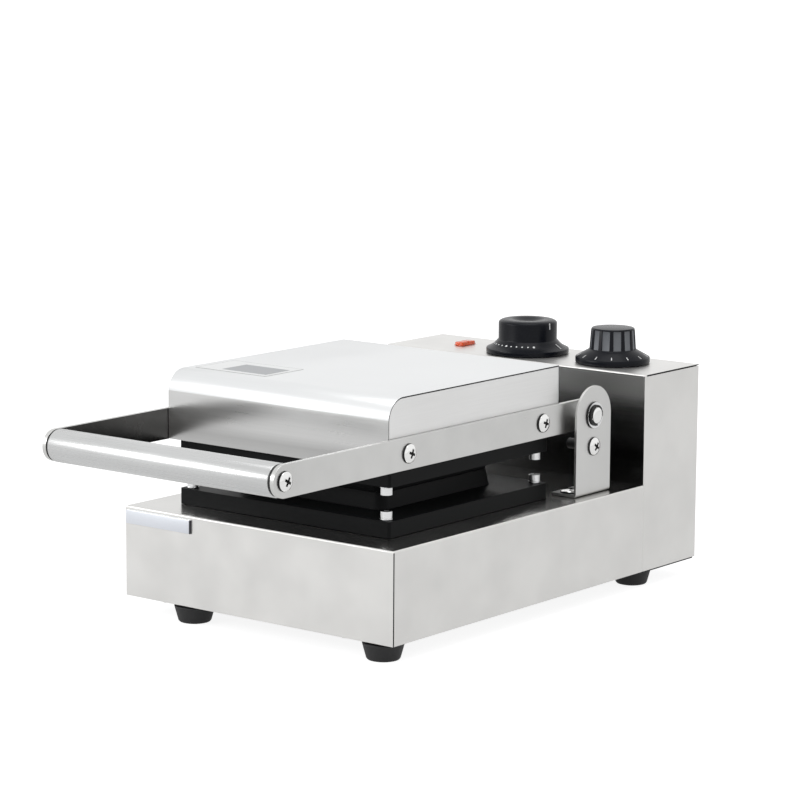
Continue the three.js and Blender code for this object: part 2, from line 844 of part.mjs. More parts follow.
function arms() {
  const half = armHeight / 2;
  const under = noseUnderside();
  const shape = new THREE.Shape();
  shape.moveTo(noseLength, half);
  shape.lineTo(-pivotSetback - handleReach, half);
  shape.absarc(-pivotSetback - handleReach, 0, half, Math.PI / 2, (3 * Math.PI) / 2, false);
  shape.lineTo(0, -half);
  shape.absarc(0, 0, half, -Math.PI / 2, Math.asin(under / half), false);
  shape.lineTo(noseLength, under);
  const screws = [-pivotSetback - handleReach, ...armScrews.map((y) => y - pivotSetback)];
  return sides.map(([side, way]) => {
    const span = way > 0 ? [armInner, armOuter] : [-armOuter, -armInner];
    const through = [span[0] - overrun, span[1] + overrun];
    const holes = screws.map((y) => bar(screwRadius + clearance, "x", through, [y, 0]));
    const pivotHole = bar(pinRadius + clearance, "x", through, [0, 0], steps.medium);
    const arm = cut(prism(shape, "x", span, steps.bigCorner), ...holes, pivotHole);
    return placed(`arm_${side}`, arm, "polishedSteel", [0, pivotSetback, pivotHeight]);
  });
}

function armScrewPieces() {
  const screw = trussScrew(clearance + armThickness + clearance + panelRecess + sheet + armScrewEnd);
  return sides.flatMap(([side, way]) => ends.map(([end], i) => placed(
    `arm_screw_${end}_${side}`,
    screw,
    "polishedSteel",
    [way * (armOuter + clearance), armScrews[i], pivotHeight],
    [way, 0, 0],
  )));
}

function handle() {
  const end = armInner - clearance;
  const place = [-handleReach, pivotHeight];
  const shoulder = end - handleSpigotLength;
  const grip = join(
    bar(handleRadius, "x", [-shoulder, shoulder], place, steps.fine),
    bar(handleSpigotRadius, "x", [-end, end], place, steps.medium),
  );
  const holes = sides.map(([, way]) => bar(
    screwRadius + clearance,
    "x",
    way > 0 ? [end - handleScrewDepth, end + overrun] : [-end - overrun, handleScrewDepth - end],
    place,
  ));
  const screw = trussScrew(armThickness + handleScrewDepth - clearance);
  const screws = sides.map(([side, way]) => placed(
    `handle_screw_${side}`,
    screw,
    "polishedSteel",
    [way * (armOuter + clearance), -handleReach, pivotHeight],
    [way, 0, 0],
  ));
  return [piece("handle_bar", cut(grip, ...holes), "polishedSteel"), ...screws];
}

// Hinge

function bracket(side, way) {
  const bottom = baseHeight + clearance;
  const radius = bracketWidth / 2;
  const front = pivotSetback - radius;
  const back = pivotSetback + radius;
  const section = outline([
    [bracketOuter - bracketFoot, bottom],
    [bracketOuter, bottom, bracketBend],
    [bracketOuter, pivotHeight + radius],
    [bracketInner, pivotHeight + radius],
    [bracketInner, bottom + bracketThickness, bracketBend - bracketThickness],
    [bracketOuter - bracketFoot, bottom + bracketThickness],
  ]);
  const face = new THREE.Shape();
  face.moveTo(front, bottom);
  face.lineTo(back, bottom);
  face.lineTo(back, pivotHeight);
  face.absarc(pivotSetback, pivotHeight, radius, 0, Math.PI, false);
  const across = [-overrun, bracketOuter + overrun];
  const folded = prism(section, "y", [front, back])
    .intersect(prism(face, "x", across, steps.bigCorner));
  const wall = [bracketInner - overrun, bracketOuter + overrun];
  const footScrews = ends.map(([, along]) => bar(
    screwRadius + clearance,
    "z",
    [bottom - overrun, bottom + bracketThickness + overrun],
    [bracketScrewX, pivotSetback + (along * bracketScrewSpacing) / 2],
  ));
  const whole = cut(
    folded,
    bar(pinRadius + clearance, "x", wall, [pivotSetback, pivotHeight], steps.medium),
    bar(screwRadius + clearance, "x", wall, [pivotSetback, pivotHeight - stopDrop]),
    ...footScrews,
  );
  const mirrored = way > 0 ? whole : whole.mirror([1, 0, 0]);
  return piece(`hinge_bracket_${side}`, mirrored, "brushedSteel");
}

// The pivot pin, with z = 0 at the bracket's outer face, a head inside and a groove for the clip.
function pivotPin() {
  const headTop = armInner - clearance - bracketOuter;
  const grooveStart = clearance + washerThickness + clearance / 2;
  const grooveEnd = grooveStart + clipThickness + clearance;
  return turned(
    [
      [0, headTop - pinHeadHeight],
      [pinHeadRadius, headTop - pinHeadHeight],
      [pinHeadRadius, headTop],
      [pinRadius, headTop],
      [pinRadius, grooveStart],
      [pinRadius - grooveDepth, grooveStart],
      [pinRadius - grooveDepth, grooveEnd],
      [pinRadius, grooveEnd],
      [pinRadius, pinEnd - pinDome],
      [pinRadius / 2, pinEnd - pinDome / 4],
      [0, pinEnd],
    ],
    steps.medium,
  );
}

function ring(outer, inner, thickness, around) {
  return cut(
    bar(outer, "z", [0, thickness], [0, 0], around),
    bar(inner, "z", [-overrun, thickness + overrun], [0, 0], around),
  );
}

// An open retaining ring with three inner tabs that reach into the pin's groove.
function retainingClip() {
  const mouth = Math.PI / 4;
  const first = mouth + radians(clipOpening / 2);
  const last = mouth + 2 * Math.PI - radians(clipOpening / 2);
  const tab = radians(clipTab);
  const middle = (first + last) / 2;
  const inner = clipRadius - clipRimWidth;
  const tip = pinRadius - grooveDepth + clearance / 2;
  const shape = new THREE.Shape();
  const third = (last - first) / 3;
  for (let start = first; start < last - third / 2; start += third) {
    shape.absarc(0, 0, clipRadius, start, start + third, false);
  }
  shape.absarc(0, 0, tip, last, last - tab, true);
  shape.absarc(0, 0, inner, last - tab, middle + tab / 2, true);
  shape.absarc(0, 0, tip, middle + tab / 2, middle - tab / 2, true);
  shape.absarc(0, 0, inner, middle - tab / 2, first + tab, true);
  shape.absarc(0, 0, tip, first + tab, first, true);
  return prism(shape, "z", [0, clipThickness], steps.corner);
}

// The stop screw: head outside the bracket, sleeve inside it, reaching under the arm.
function stopScrew() {
  const sleeveTop = -bracketThickness - 2 * clearance;
  return turned(
    [
      [0, sleeveTop - stopSleeveLength],
      [stopSleeveRadius, sleeveTop - stopSleeveLength],
      [stopSleeveRadius, sleeveTop],
      [screwRadius, sleeveTop],
      [screwRadius, 0],
      ...trussHead(),
    ],
    steps.medium,
  );
}

function hinge() {
  const footScrew = trussScrew(bracketThickness + 2 * clearance + sheet + bracketScrewEnd);
  const pin = pivotPin();
  const washer = ring(washerRadius, pinRadius + clearance, washerThickness, steps.medium);
  const clip = retainingClip();
  const stop = stopScrew();
  const bush = ring(bushRadius, pinRadius + clearance, bushLength, steps.medium);
  const clipStart = bracketOuter + clearance + washerThickness + clearance;
  return sides.flatMap(([side, way]) => {
    const out = [way, 0, 0];
    const atPivot = (x) => [way * x, pivotSetback, pivotHeight];
    const stopPlace = [way * (bracketOuter + clearance), pivotSetback, pivotHeight - stopDrop];
    const footScrews = ends.map(([end, along]) => placed(
      `bracket_screw_${end}_${side}`,
      footScrew,
      "polishedSteel",
      [
        way * bracketScrewX,
        pivotSetback + (along * bracketScrewSpacing) / 2,
        baseHeight + bracketThickness + 2 * clearance,
      ],
    ));
    return [
      bracket(side, way),
      ...footScrews,
      placed(`pivot_pin_${side}`, pin, "polishedSteel", atPivot(bracketOuter), out),
      placed(`pivot_washer_${side}`, washer, "zinc", atPivot(bracketOuter + clearance), out),
      placed(`pivot_clip_${side}`, clip, "blackenedSteel", atPivot(clipStart), out),
      placed(`pivot_bush_${side}`, bush, "zinc", atPivot(armOuter + clearance), out),
      placed(`stop_screw_${side}`, stop, "polishedSteel", stopPlace, out),
    ];
  });
}

// Knobs and controls

// How a knob's skirt flares: share of the way in from its rim, share of the way up.
const flareShares = [[0, 0], [0.45, 0.34], [0.8, 0.68], [1, 1]];

// The underside of a knob and its spindle, from the axis outwards.
function knobUnderside(skirtRadius) {
  return [
    [0, -spindleLength],
    [spindleRadius, -spindleLength],
    [spindleRadius, knobHollow],
    [bushingRadius + knobWall, knobHollow],
    [skirtRadius - knobWall, knobHollow / 3],
    [skirtRadius - knobWall, 0],
    [skirtRadius, 0],
  ];
}

function flare(skirtRadius, rim, bodyRadius, skirtHeight) {
  return flareShares.map(([inShare, upShare]) => [
    skirtRadius - (skirtRadius - bodyRadius) * inShare,
    rim + (skirtHeight - rim) * upShare,
  ]);
}

// Where the dish of the timer knob has its corners, as shares of its radius.
const dishShares = [1, 0.7, 0.35, 0];

function timerKnob() {
  const top = timerKnobHeight;
  const dish = (share) => [timerDishRadius * share, top - timerDishDepth * (1 - share * share)];
  const rolled = [0, 1, 2, 3].map((i) => {
    const angle = (i / 3) * (Math.PI / 2);
    return [
      timerBodyRadius - timerEdgeWidth * (1 - Math.cos(angle)),
      top - timerEdge * (1 - Math.sin(angle)),
    ];
  });
  const knob = turned(
    [
      ...knobUnderside(timerSkirtRadius),
      ...flare(timerSkirtRadius, timerRim, timerBodyRadius, timerSkirtHeight),
      ...rolled,
      ...dishShares.map(dish),
    ],
    steps.fine,
  );
  return placed("timer_knob", knob, "blackPlastic", [timerPlace, controlMiddle, knobSeat]);
}

// The thermostat knob's tapered body has flat flutes all round.
function thermostatKnob() {
  const top = thermostatKnobHeight;
  const knob = turned(
    [
      ...knobUnderside(thermostatSkirtRadius),
      ...flare(
        thermostatSkirtRadius,
        thermostatRim,
        thermostatBodyRadius,
        thermostatSkirtHeight,
      ),
      [thermostatTopRadius, top - thermostatEdge],
      [thermostatTopRadius - thermostatEdge, top],
      [0, top],
    ],
    steps.fine,
  );
  const bodyHeight = top - thermostatSkirtHeight;
  const taper = Math.atan((thermostatBodyRadius - thermostatTopRadius) / bodyHeight);
  const cutters = Array.from({ length: flutes }, (_, i) => {
    const cutter = new THREE.BoxGeometry(2 * fluteDepth, fluteWidth, bodyHeight - fluteEnd);
    cutter.translate(thermostatBodyRadius, 0, (bodyHeight - fluteEnd) / 2);
    cutter.translate(-thermostatBodyRadius, 0, 0).rotateY(-taper);
    cutter.translate(thermostatBodyRadius, 0, thermostatSkirtHeight);
    cutter.rotateZ(radians(fluteTurn + (i * 360) / flutes));
    return toSolid(cutter);
  });
  return placed(
    "thermostat_knob",
    cut(knob, ...cutters),
    "blackPlastic",
    [thermostatPlace, controlMiddle, knobSeat],
  );
}

// The switch under a knob: a case below the box's top with a neck through it for the spindle.
function controlCase(name, place, width, height) {
  const top = controlHeight - sheet - clearance;
  const half = width / 2;
  const caseBlock = block([-half, half], [-half, half], [top - controlNut - height, top - controlNut]);
  const shoulder = block(
    [-controlNut, controlNut],
    [-controlNut, controlNut],
    [top - controlNut - overrun, top],
  );
  const neck = bar(
    bushingRadius,
    "z",
    [top - overrun, controlHeight + bushingRise],
    [0, 0],
    steps.medium,
  );
  const boreEnd = knobSeat - spindleLength - clearance;
  const bore = bar(
    spindleRadius + clearance,
    "z",
    [boreEnd, controlHeight + bushingRise + overrun],
    [0, 0],
  );
  const whole = cut(join(caseBlock, shoulder, neck), bore);
  return placed(name, whole, "bakelite", [place, controlMiddle, 0]);
}

function pilotLamp() {
  const across = lampWidth / 2 - lampBevel;
  const along = lampLength / 2 - lampBevel;
  const lens = new THREE.ExtrudeGeometry(
    rectangle([-across, across], [-along, along]),
    {
      depth: lampRise - clearance - 2 * lampBevel,
      bevelThickness: lampBevel,
      bevelSize: lampBevel,
      bevelSegments: 1,
      steps: 1,
    },
  );
  lens.translate(0, 0, clearance + lampBevel);
  const body = block(
    [clearance - across, across - clearance],
    [clearance - along, along - clearance],
    [-sheet - lampBody, lampRise - 2 * lampBevel],
  );
  const lamp = join(toSolid(lens), body);
  return placed("pilot_lamp", lamp, "lamp", [lampPlace, controlMiddle, controlHeight]);
}

function terminalBlock() {
  const half = terminalWidth / 2;
  const solid = block([-half, half], [0, terminalDepth], [0, terminalHeight]);
  return placed("terminal_block", solid, "ceramic", [
    -mainsGlandPlace,
    rearFace - controlDepth / 2,
    floorTop + clearance,
  ]);
}

// A cable gland, its flange resting on z = 0 and its neck running down through the wall.
function gland() {
  return turned(
    [
      [glandBore, -glandNeckLength],
      [glandNeck, -glandNeckLength],
      [glandNeck, 0],
      [glandFlange, 0],
      [glandFlange, glandFlangeHeight],
      [glandRadius, glandFlangeHeight],
      [glandRadius, glandLength - glandBore / 2],
      [glandRadius - glandBore / 2, glandLength],
      [glandBore, glandLength],
      [glandBore, -glandNeckLength],
    ],
    steps.coarse,
  );
}

// Assembly

const waffleMaker = new THREE.Group();
const solidGland = gland();
const mainsGland = placed(
  "mains_gland",
  solidGland,
  "blackPlastic",
  [-mainsGlandPlace, rearFace - rearRecess + clearance, mainsGlandHeight],
  [0, 1, 0],
);
const controlLeadGland = placed(
  "control_lead_gland",
  solidGland,
  "blackPlastic",
  [-leadGlandPlace, baseDepth - clearance, leadGlandHeight],
  [0, -1, 0],
);
const lidLeadGland = placed(
  "lid_lead_gland",
  solidGland,
  "blackPlastic",
  [-leadGlandPlace, lidRear + clearance, lidBottom + leadGlandRise],
  [0, 1, 0],
);

const body = new THREE.Group();
body.add(
  baseShell(),
  baseFloor(),
  ...feet(),
  controlBoxShell(),
  controlBoxCover(),
  lowerStack(),
  ...hinge(),
  controlCase("timer_body", timerPlace, timerCaseWidth, timerCaseHeight),
  controlCase("thermostat_body", thermostatPlace, thermostatCaseWidth, thermostatCaseHeight),
  pilotLamp(),
  terminalBlock(),
  mainsGland,
  controlLeadGland,
);

const lid = new THREE.Group();
lid.add(
  lidCover(),
  ...lidSides(),
  upperStack(),
  ...arms(),
  ...armScrewPieces(),
  ...handle(),
  lidLeadGland,
);

waffleMaker.add(body, lid, timerKnob(), thermostatKnob());

// The origin goes to the middle of the footprint, on the surface under the feet.
const frontmost = -handleReach - Math.max(handleRadius, armHeight / 2);
const rearmost = Math.max(rearFace, rearFace - rearRecess + clearance + glandLength);
const standing = floorBottom - clearance - footHeight;
for (const part of waffleMaker.children) {
  part.position.y -= (frontmost + rearmost) / 2;
  part.position.z -= standing;
}

export default waffleMaker;
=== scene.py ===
# %% [markdown]
# # A countertop waffle maker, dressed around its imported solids
#
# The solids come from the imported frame: a folded stainless base with a control box behind it, a lid
# that hangs between two flat arms, and two black castings that face each other. This lesson gives
# them the finish of the real thing. Sheet metal gets soft edges and a brushed grain, the knobs get
# their flared skirts, flutes and painted marks, and the screws get their recesses. Everything that is
# new rides on the body that it belongs to, so that it moves when the lid opens or a knob turns.

# %% Frame and units
import json
import math

import bpy
from mathutils import Matrix, Vector

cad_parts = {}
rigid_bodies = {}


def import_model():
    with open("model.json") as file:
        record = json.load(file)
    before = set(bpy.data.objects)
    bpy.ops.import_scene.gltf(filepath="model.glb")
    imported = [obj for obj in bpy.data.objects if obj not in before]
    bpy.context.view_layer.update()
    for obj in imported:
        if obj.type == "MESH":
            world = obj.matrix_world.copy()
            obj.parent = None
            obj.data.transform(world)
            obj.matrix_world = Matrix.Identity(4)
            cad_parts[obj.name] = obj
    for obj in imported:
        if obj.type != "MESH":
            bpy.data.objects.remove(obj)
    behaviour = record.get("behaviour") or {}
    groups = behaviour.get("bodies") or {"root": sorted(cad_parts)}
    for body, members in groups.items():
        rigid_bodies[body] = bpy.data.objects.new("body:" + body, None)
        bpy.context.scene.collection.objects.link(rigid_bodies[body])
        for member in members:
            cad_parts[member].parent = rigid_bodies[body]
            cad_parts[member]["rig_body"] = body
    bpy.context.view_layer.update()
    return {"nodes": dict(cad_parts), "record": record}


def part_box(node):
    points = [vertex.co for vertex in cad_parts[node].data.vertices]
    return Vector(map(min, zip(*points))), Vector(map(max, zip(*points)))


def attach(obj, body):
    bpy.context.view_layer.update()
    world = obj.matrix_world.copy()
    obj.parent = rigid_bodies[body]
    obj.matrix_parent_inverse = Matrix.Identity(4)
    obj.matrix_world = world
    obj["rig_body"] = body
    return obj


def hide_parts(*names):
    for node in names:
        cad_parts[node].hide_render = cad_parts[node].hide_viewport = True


mm = 0.001
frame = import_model()
nodes = frame["nodes"]
scene = bpy.context.scene
body_of = {node_name: node["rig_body"] for node_name, node in nodes.items()}

# %% [markdown]
# ## The camera
#
# The photograph was taken from the front right, about 2.2 m away and a little above the machine,
# with a long lens that hardly makes parallel edges converge. The place and the angles were solved
# from the straight edges of the base, the lid and the control box.

# %% Camera
frame_pixels = 800
focal_pixels = 3069.1
sensor_width = 36
camera_place = Vector((1393.5, -1754.9, 528.6)) * mm
heading_degrees = 38.119
downward_degrees = 9.487
roll_degrees = 0.358
camera_data = bpy.data.cameras.new("camera")
camera_data.sensor_width = sensor_width
camera_data.lens = focal_pixels * sensor_width / frame_pixels
camera = bpy.data.objects.new("camera", camera_data)
scene.collection.objects.link(camera)
turn = Matrix.Rotation(math.radians(heading_degrees), 4, "Z")
tilt = Matrix.Rotation(math.radians(90 - downward_degrees), 4, "X")
roll = Matrix.Rotation(math.radians(roll_degrees), 4, "Z")
camera.matrix_world = Matrix.Translation(camera_place) @ turn @ tilt @ roll
scene.camera = camera
print("camera lens", round(camera_data.lens, 1), "mm")

# %% [markdown]
# ## Light, world and floor
#
# Product photographs of stainless steel are taken in a white tent, because the metal shows what
# stands around it. The world is white where a camera ray, a mirrored ray or a ray through glass meets
# it, and dimmer for the diffuse light, so that plastics and paint keep their colours.

# %% World
seen_rays = ("Is Camera Ray", "Is Glossy Ray", "Is Transmission Ray")
tent_strength = 1.0
fill_strength = 0.62
scene.view_settings.view_transform = "Standard"
world = bpy.data.worlds.new("tent")
scene.world = world
world.use_nodes = True
world_tree = world.node_tree
world_tree.nodes.clear()


def math_node(tree, operation, *operands):
    """The result of a math node whose operands are sockets or numbers."""
    node = tree.nodes.new("ShaderNodeMath")
    node.operation = operation
    for socket, operand in zip(node.inputs, operands):
        if isinstance(operand, (int, float)):
            socket.default_value = operand
        else:
            tree.links.new(operand, socket)
    return node.outputs[0]


def largest(tree, first, second, third):
    """The largest of three values."""
    return math_node(tree, "MAXIMUM", math_node(tree, "MAXIMUM", first, second), third)


def white_background(strength):
    """A white background for the world."""
    background = world_tree.nodes.new("ShaderNodeBackground")
    background.inputs["Color"].default_value = (1, 1, 1, 1)
    background.inputs["Strength"].default_value = strength
    return background.outputs[0]


world_rays = world_tree.nodes.new("ShaderNodeLightPath").outputs
world_mix = world_tree.nodes.new("ShaderNodeMixShader")
is_seen = largest(world_tree, *(world_rays[ray] for ray in seen_rays))
world_tree.links.new(is_seen, world_mix.inputs["Fac"])
world_tree.links.new(white_background(fill_strength), world_mix.inputs[1])
world_tree.links.new(white_background(tent_strength), world_mix.inputs[2])
world_out = world_tree.nodes.new("ShaderNodeOutputWorld")
world_tree.links.new(world_mix.outputs[0], world_out.inputs["Surface"])
print("the world fills with", fill_strength, "and shows", tent_strength)

# %% [markdown]
# One long soft lamp at the front left draws the bright line along the lid's bend and the handle bar.
# A square one above lifts the tops and gives the floor its soft shadow.

# %% Lamps


def soft_lamp(name, place, aim, size, power):
    """A rectangular lamp at a place, facing a point."""
    data = bpy.data.lights.new(name, "AREA")
    data.shape = "RECTANGLE"
    data.size, data.size_y = size
    data.energy = power
    lamp = bpy.data.objects.new(name, data)
    scene.collection.objects.link(lamp)
    away = (Vector(place) - Vector(aim)).normalized()
    facing = away.to_track_quat("Z", "Y").to_matrix().to_4x4()
    lamp.matrix_world = Matrix.Translation(Vector(place)) @ facing
    print(name, power, "W")


soft_lamp("front_left_lamp", (-1.5, -1.9, 1.0), (0, 0, 0.12), (1.6, 0.5), 18)
soft_lamp("top_lamp", (0.3, -0.2, 2.4), (0, 0, 0.1), (1.8, 1.8), 16)

# %% [markdown]
# The floor is white paper. It glows for camera rays, so that it looks as white as the background and
# still takes the shadow, and less for rays that come by way of the metal or the lens.

# %% Floor
floor_size = 60
floor_grey = (0.4, 0.4, 0.4, 1)
floor_glows = (0.88, 0.5, 0.5)
bpy.ops.mesh.primitive_plane_add(size=floor_size)
floor = bpy.context.active_object
floor.name = "studio_floor"
paper = bpy.data.materials.new("white_paper")
paper.use_nodes = True
paper_tree = paper.node_tree
paper_shader = paper_tree.nodes["Principled BSDF"]
paper_shader.inputs["Base Color"].default_value = floor_grey
paper_shader.inputs["Roughness"].default_value = 0.9
paper_shader.inputs["Specular IOR Level"].default_value = 0.1
paper_rays = paper_tree.nodes.new("ShaderNodeLightPath").outputs
glow_parts = []
for ray, strength in zip(seen_rays, floor_glows):
    glow_parts.append(math_node(paper_tree, "MULTIPLY", paper_rays[ray], strength))
paper_glow = paper_tree.nodes.new("ShaderNodeEmission")
paper_glow.inputs["Color"].default_value = (1, 1, 1, 1)
paper_tree.links.new(largest(paper_tree, *glow_parts), paper_glow.inputs["Strength"])
paper_sum = paper_tree.nodes.new("ShaderNodeAddShader")
paper_tree.links.new(paper_shader.outputs[0], paper_sum.inputs[0])
paper_tree.links.new(paper_glow.outputs[0], paper_sum.inputs[1])
paper_tree.links.new(paper_sum.outputs[0], paper_tree.nodes["Material Output"].inputs["Surface"])
floor.data.materials.append(paper)
print(floor.name, "with glows", floor_glows)

# %% [markdown]
# ## Finishes
#
# Four effects come back in many finishes, so each is a node group. The brushed grain is noise drawn
# out into long hairlines, along X on the faces that look forwards or up and along Y on the side
# walls, as the sheet is brushed before it is folded. The clouds are the broad dull patches that
# rubbing and wiping leave. The speckle is the fine bumpiness of cast coatings, rubber and plastic.
# The dark band dims a face between two heights, as painted shade and painted reflection of a dark part.

# %% Helpers for node groups


def new_group(name, inputs, output):
    """An empty shader node group with named inputs at their first values and one named output."""
    group = bpy.data.node_groups.new(name, "ShaderNodeTree")
    kind = "NodeSocketFloat"
    for label, value in inputs.items():
        socket = group.interface.new_socket(name=label, in_out="INPUT", socket_type=kind)
        socket.default_value = value
    group.interface.new_socket(name=output, in_out="OUTPUT", socket_type=kind)
    entry = group.nodes.new("NodeGroupInput")
    leave = group.nodes.new("NodeGroupOutput")
    return group, entry, leave


def object_place(group):
    """The place on the piece, in its own coordinates."""
    return group.nodes.new("ShaderNodeTexCoord").outputs["Object"]


def noise_node(group, vector, scale, detail):
    """Noise read at a vector, as a value about one half."""
    node = group.nodes.new("ShaderNodeTexNoise")
    node.inputs["Detail"].default_value = detail
    group.links.new(vector, node.inputs["Vector"])
    group.links.new(scale, node.inputs["Scale"])
    return node.outputs["Fac"]


def stretched(group, vector, factors):
    """A vector scaled by axis, which draws a pattern out along the small factors."""
    node = group.nodes.new("ShaderNodeMapping")
    node.inputs["Scale"].default_value = factors
    group.links.new(vector, node.inputs["Vector"])
    return node.outputs["Vector"]


# %% Brushed grain
draw_out = 0.02
side_wall = 0.5
grain_detail = 3
grain, grain_in, grain_out = new_group("brushed_grain", {"Lines per metre": 900.0}, "Lines")
grain_place = object_place(grain)
grain_scale = grain_in.outputs[0]
along_x = noise_node(grain, stretched(grain, grain_place, (draw_out, 1, 1)), grain_scale, grain_detail)
along_y = noise_node(grain, stretched(grain, grain_place, (1, draw_out, 1)), grain_scale, grain_detail)
grain_facing = grain.nodes.new("ShaderNodeSeparateXYZ")
grain.links.new(grain.nodes.new("ShaderNodeNewGeometry").outputs["Normal"], grain_facing.inputs[0])
sideways = math_node(grain, "ABSOLUTE", grain_facing.outputs["X"])
grain_mix = grain.nodes.new("ShaderNodeMix")
grain.links.new(math_node(grain, "GREATER_THAN", sideways, side_wall), grain_mix.inputs["Factor"])
grain.links.new(along_x, grain_mix.inputs["A"])
grain.links.new(along_y, grain_mix.inputs["B"])
grain.links.new(grain_mix.outputs["Result"], grain_out.inputs["Lines"])
print(grain.name, "has", len(grain.nodes), "nodes")

# %% Clouds and speckle


def noise_group(name, scale_label, scale, detail, output):
    """A group that puts out plain noise."""
    group, entry, leave = new_group(name, {scale_label: scale}, output)
    noise = noise_node(group, object_place(group), entry.outputs[0], detail)
    group.links.new(noise, leave.inputs[output])
    print(group.name, "has", len(group.nodes), "nodes")
    return group


clouds = noise_group("wiped_clouds", "Patches per metre", 14.0, 2, "Clouds")
speckle = noise_group("fine_speckle", "Grains per metre", 1800.0, 4, "Speckle")

# %% Dark band
band_inputs = {"Dark": 0.0, "Lower end": 0.1, "Upper start": 1.0, "Upper end": 1.1, "Least": 0.2}
band, band_in, band_out = new_group("dark_band", band_inputs, "Share")
band_place = band.nodes.new("ShaderNodeSeparateXYZ")
band.links.new(object_place(band), band_place.inputs[0])
band_sides = []
for first, last in (("Dark", "Lower end"), ("Upper start", "Upper end")):
    side_share = band.nodes.new("ShaderNodeMapRange")
    band.links.new(band_place.outputs["Z"], side_share.inputs["Value"])
    band.links.new(band_in.outputs[first], side_share.inputs["From Min"])
    band.links.new(band_in.outputs[last], side_share.inputs["From Max"])
    band.links.new(band_in.outputs["Least"], side_share.inputs["To Min"])
    band_sides.append(side_share.outputs["Result"])
band.links.new(math_node(band, "MAXIMUM", *band_sides), band_out.inputs["Share"])
print(band.name, "has", len(band.nodes), "nodes")

# %% [markdown]
# A finish is one Principled shader. Its colour and its roughness run between two values, led by the
# clouds, and the fine pattern goes into the bump. Metallic, the specular level and the other plain
# numbers are set on the shader itself. Noise stays near one half, so only its middle part is spread over
# the range.

# %% Finish builder
colour_ends = (0.35, 0.65)
rough_ends = (0.3, 0.7)
bump_depth = 0.05 * mm
no_upper_end = (1000, 1100)


def finish(name, colour, spread, rough, pattern, scale, bump, plain=None):
    """A material whose colour and roughness vary with the clouds and a fine pattern.

    colour is the mean in linear light, spread its share of change up and down, rough the lowest and
    highest roughness, pattern the group for the fine structure with its scale, bump its depth, and
    plain the values that are the same all over.
    """
    material = bpy.data.materials.new(name)
    material.use_nodes = True
    tree = material.node_tree
    shader = tree.nodes["Principled BSDF"]
    for label, value in (plain or {}).items():
        shader.inputs[label].default_value = value
    fine = tree.nodes.new("ShaderNodeGroup")
    fine.node_tree = pattern
    fine.inputs[0].default_value = scale
    broad = tree.nodes.new("ShaderNodeGroup")
    broad.node_tree = clouds
    half_broad = math_node(tree, "MULTIPLY", broad.outputs[0], 0.5)
    both = math_node(tree, "MULTIPLY_ADD", fine.outputs[0], 0.5, half_broad)
    ramp = tree.nodes.new("ShaderNodeValToRGB")
    for stop, place, change in zip(ramp.color_ramp.elements, colour_ends, (-spread, spread)):
        stop.position = place
        stop.color = [min(1, channel * (1 + change)) for channel in colour] + [1]
    tree.links.new(both, ramp.inputs["Fac"])
    tree.links.new(ramp.outputs["Color"], shader.inputs["Base Color"])
    level = tree.nodes.new("ShaderNodeMapRange")
    for label, value in zip(("From Min", "From Max", "To Min", "To Max"), rough_ends + rough):
        level.inputs[label].default_value = value
    tree.links.new(both, level.inputs["Value"])
    tree.links.new(level.outputs["Result"], shader.inputs["Roughness"])
    relief = tree.nodes.new("ShaderNodeBump")
    relief.inputs["Strength"].default_value = bump
    relief.inputs["Distance"].default_value = bump_depth
    tree.links.new(fine.outputs[0], relief.inputs["Height"])
    tree.links.new(relief.outputs["Normal"], shader.inputs["Normal"])
    return material


def darken(material, dark, clear, least, above=no_upper_end):
    """Dims a finish over a range of heights.

    The colour has its least share at the height dark and is whole again at the height clear, both in
    millimetres. Above the first value of above it clears again, up to the second.
    """
    tree = material.node_tree
    shader = tree.nodes["Principled BSDF"]
    colour = shader.inputs["Base Color"].links[0].from_socket
    share = tree.nodes.new("ShaderNodeGroup")
    share.node_tree = band
    for label, height in zip(("Dark", "Lower end", "Upper start", "Upper end"), (dark, clear, *above)):
        share.inputs[label].default_value = height * mm
    share.inputs["Least"].default_value = least
    product = tree.nodes.new("ShaderNodeVectorMath")
    product.operation = "MULTIPLY"
    tree.links.new(colour, product.inputs[0])
    tree.links.new(share.outputs["Share"], product.inputs[1])
    tree.links.new(product.outputs[0], shader.inputs["Base Color"])


# %% [markdown]
# The base and the control box are dull rolled sheet with faint patches. The lid, its sides and the
# handle bar are brushed, the screws and pins polished. Each row gives the colour, its spread, the
# roughness, the fine pattern with its scale, the bump, and the plain values.

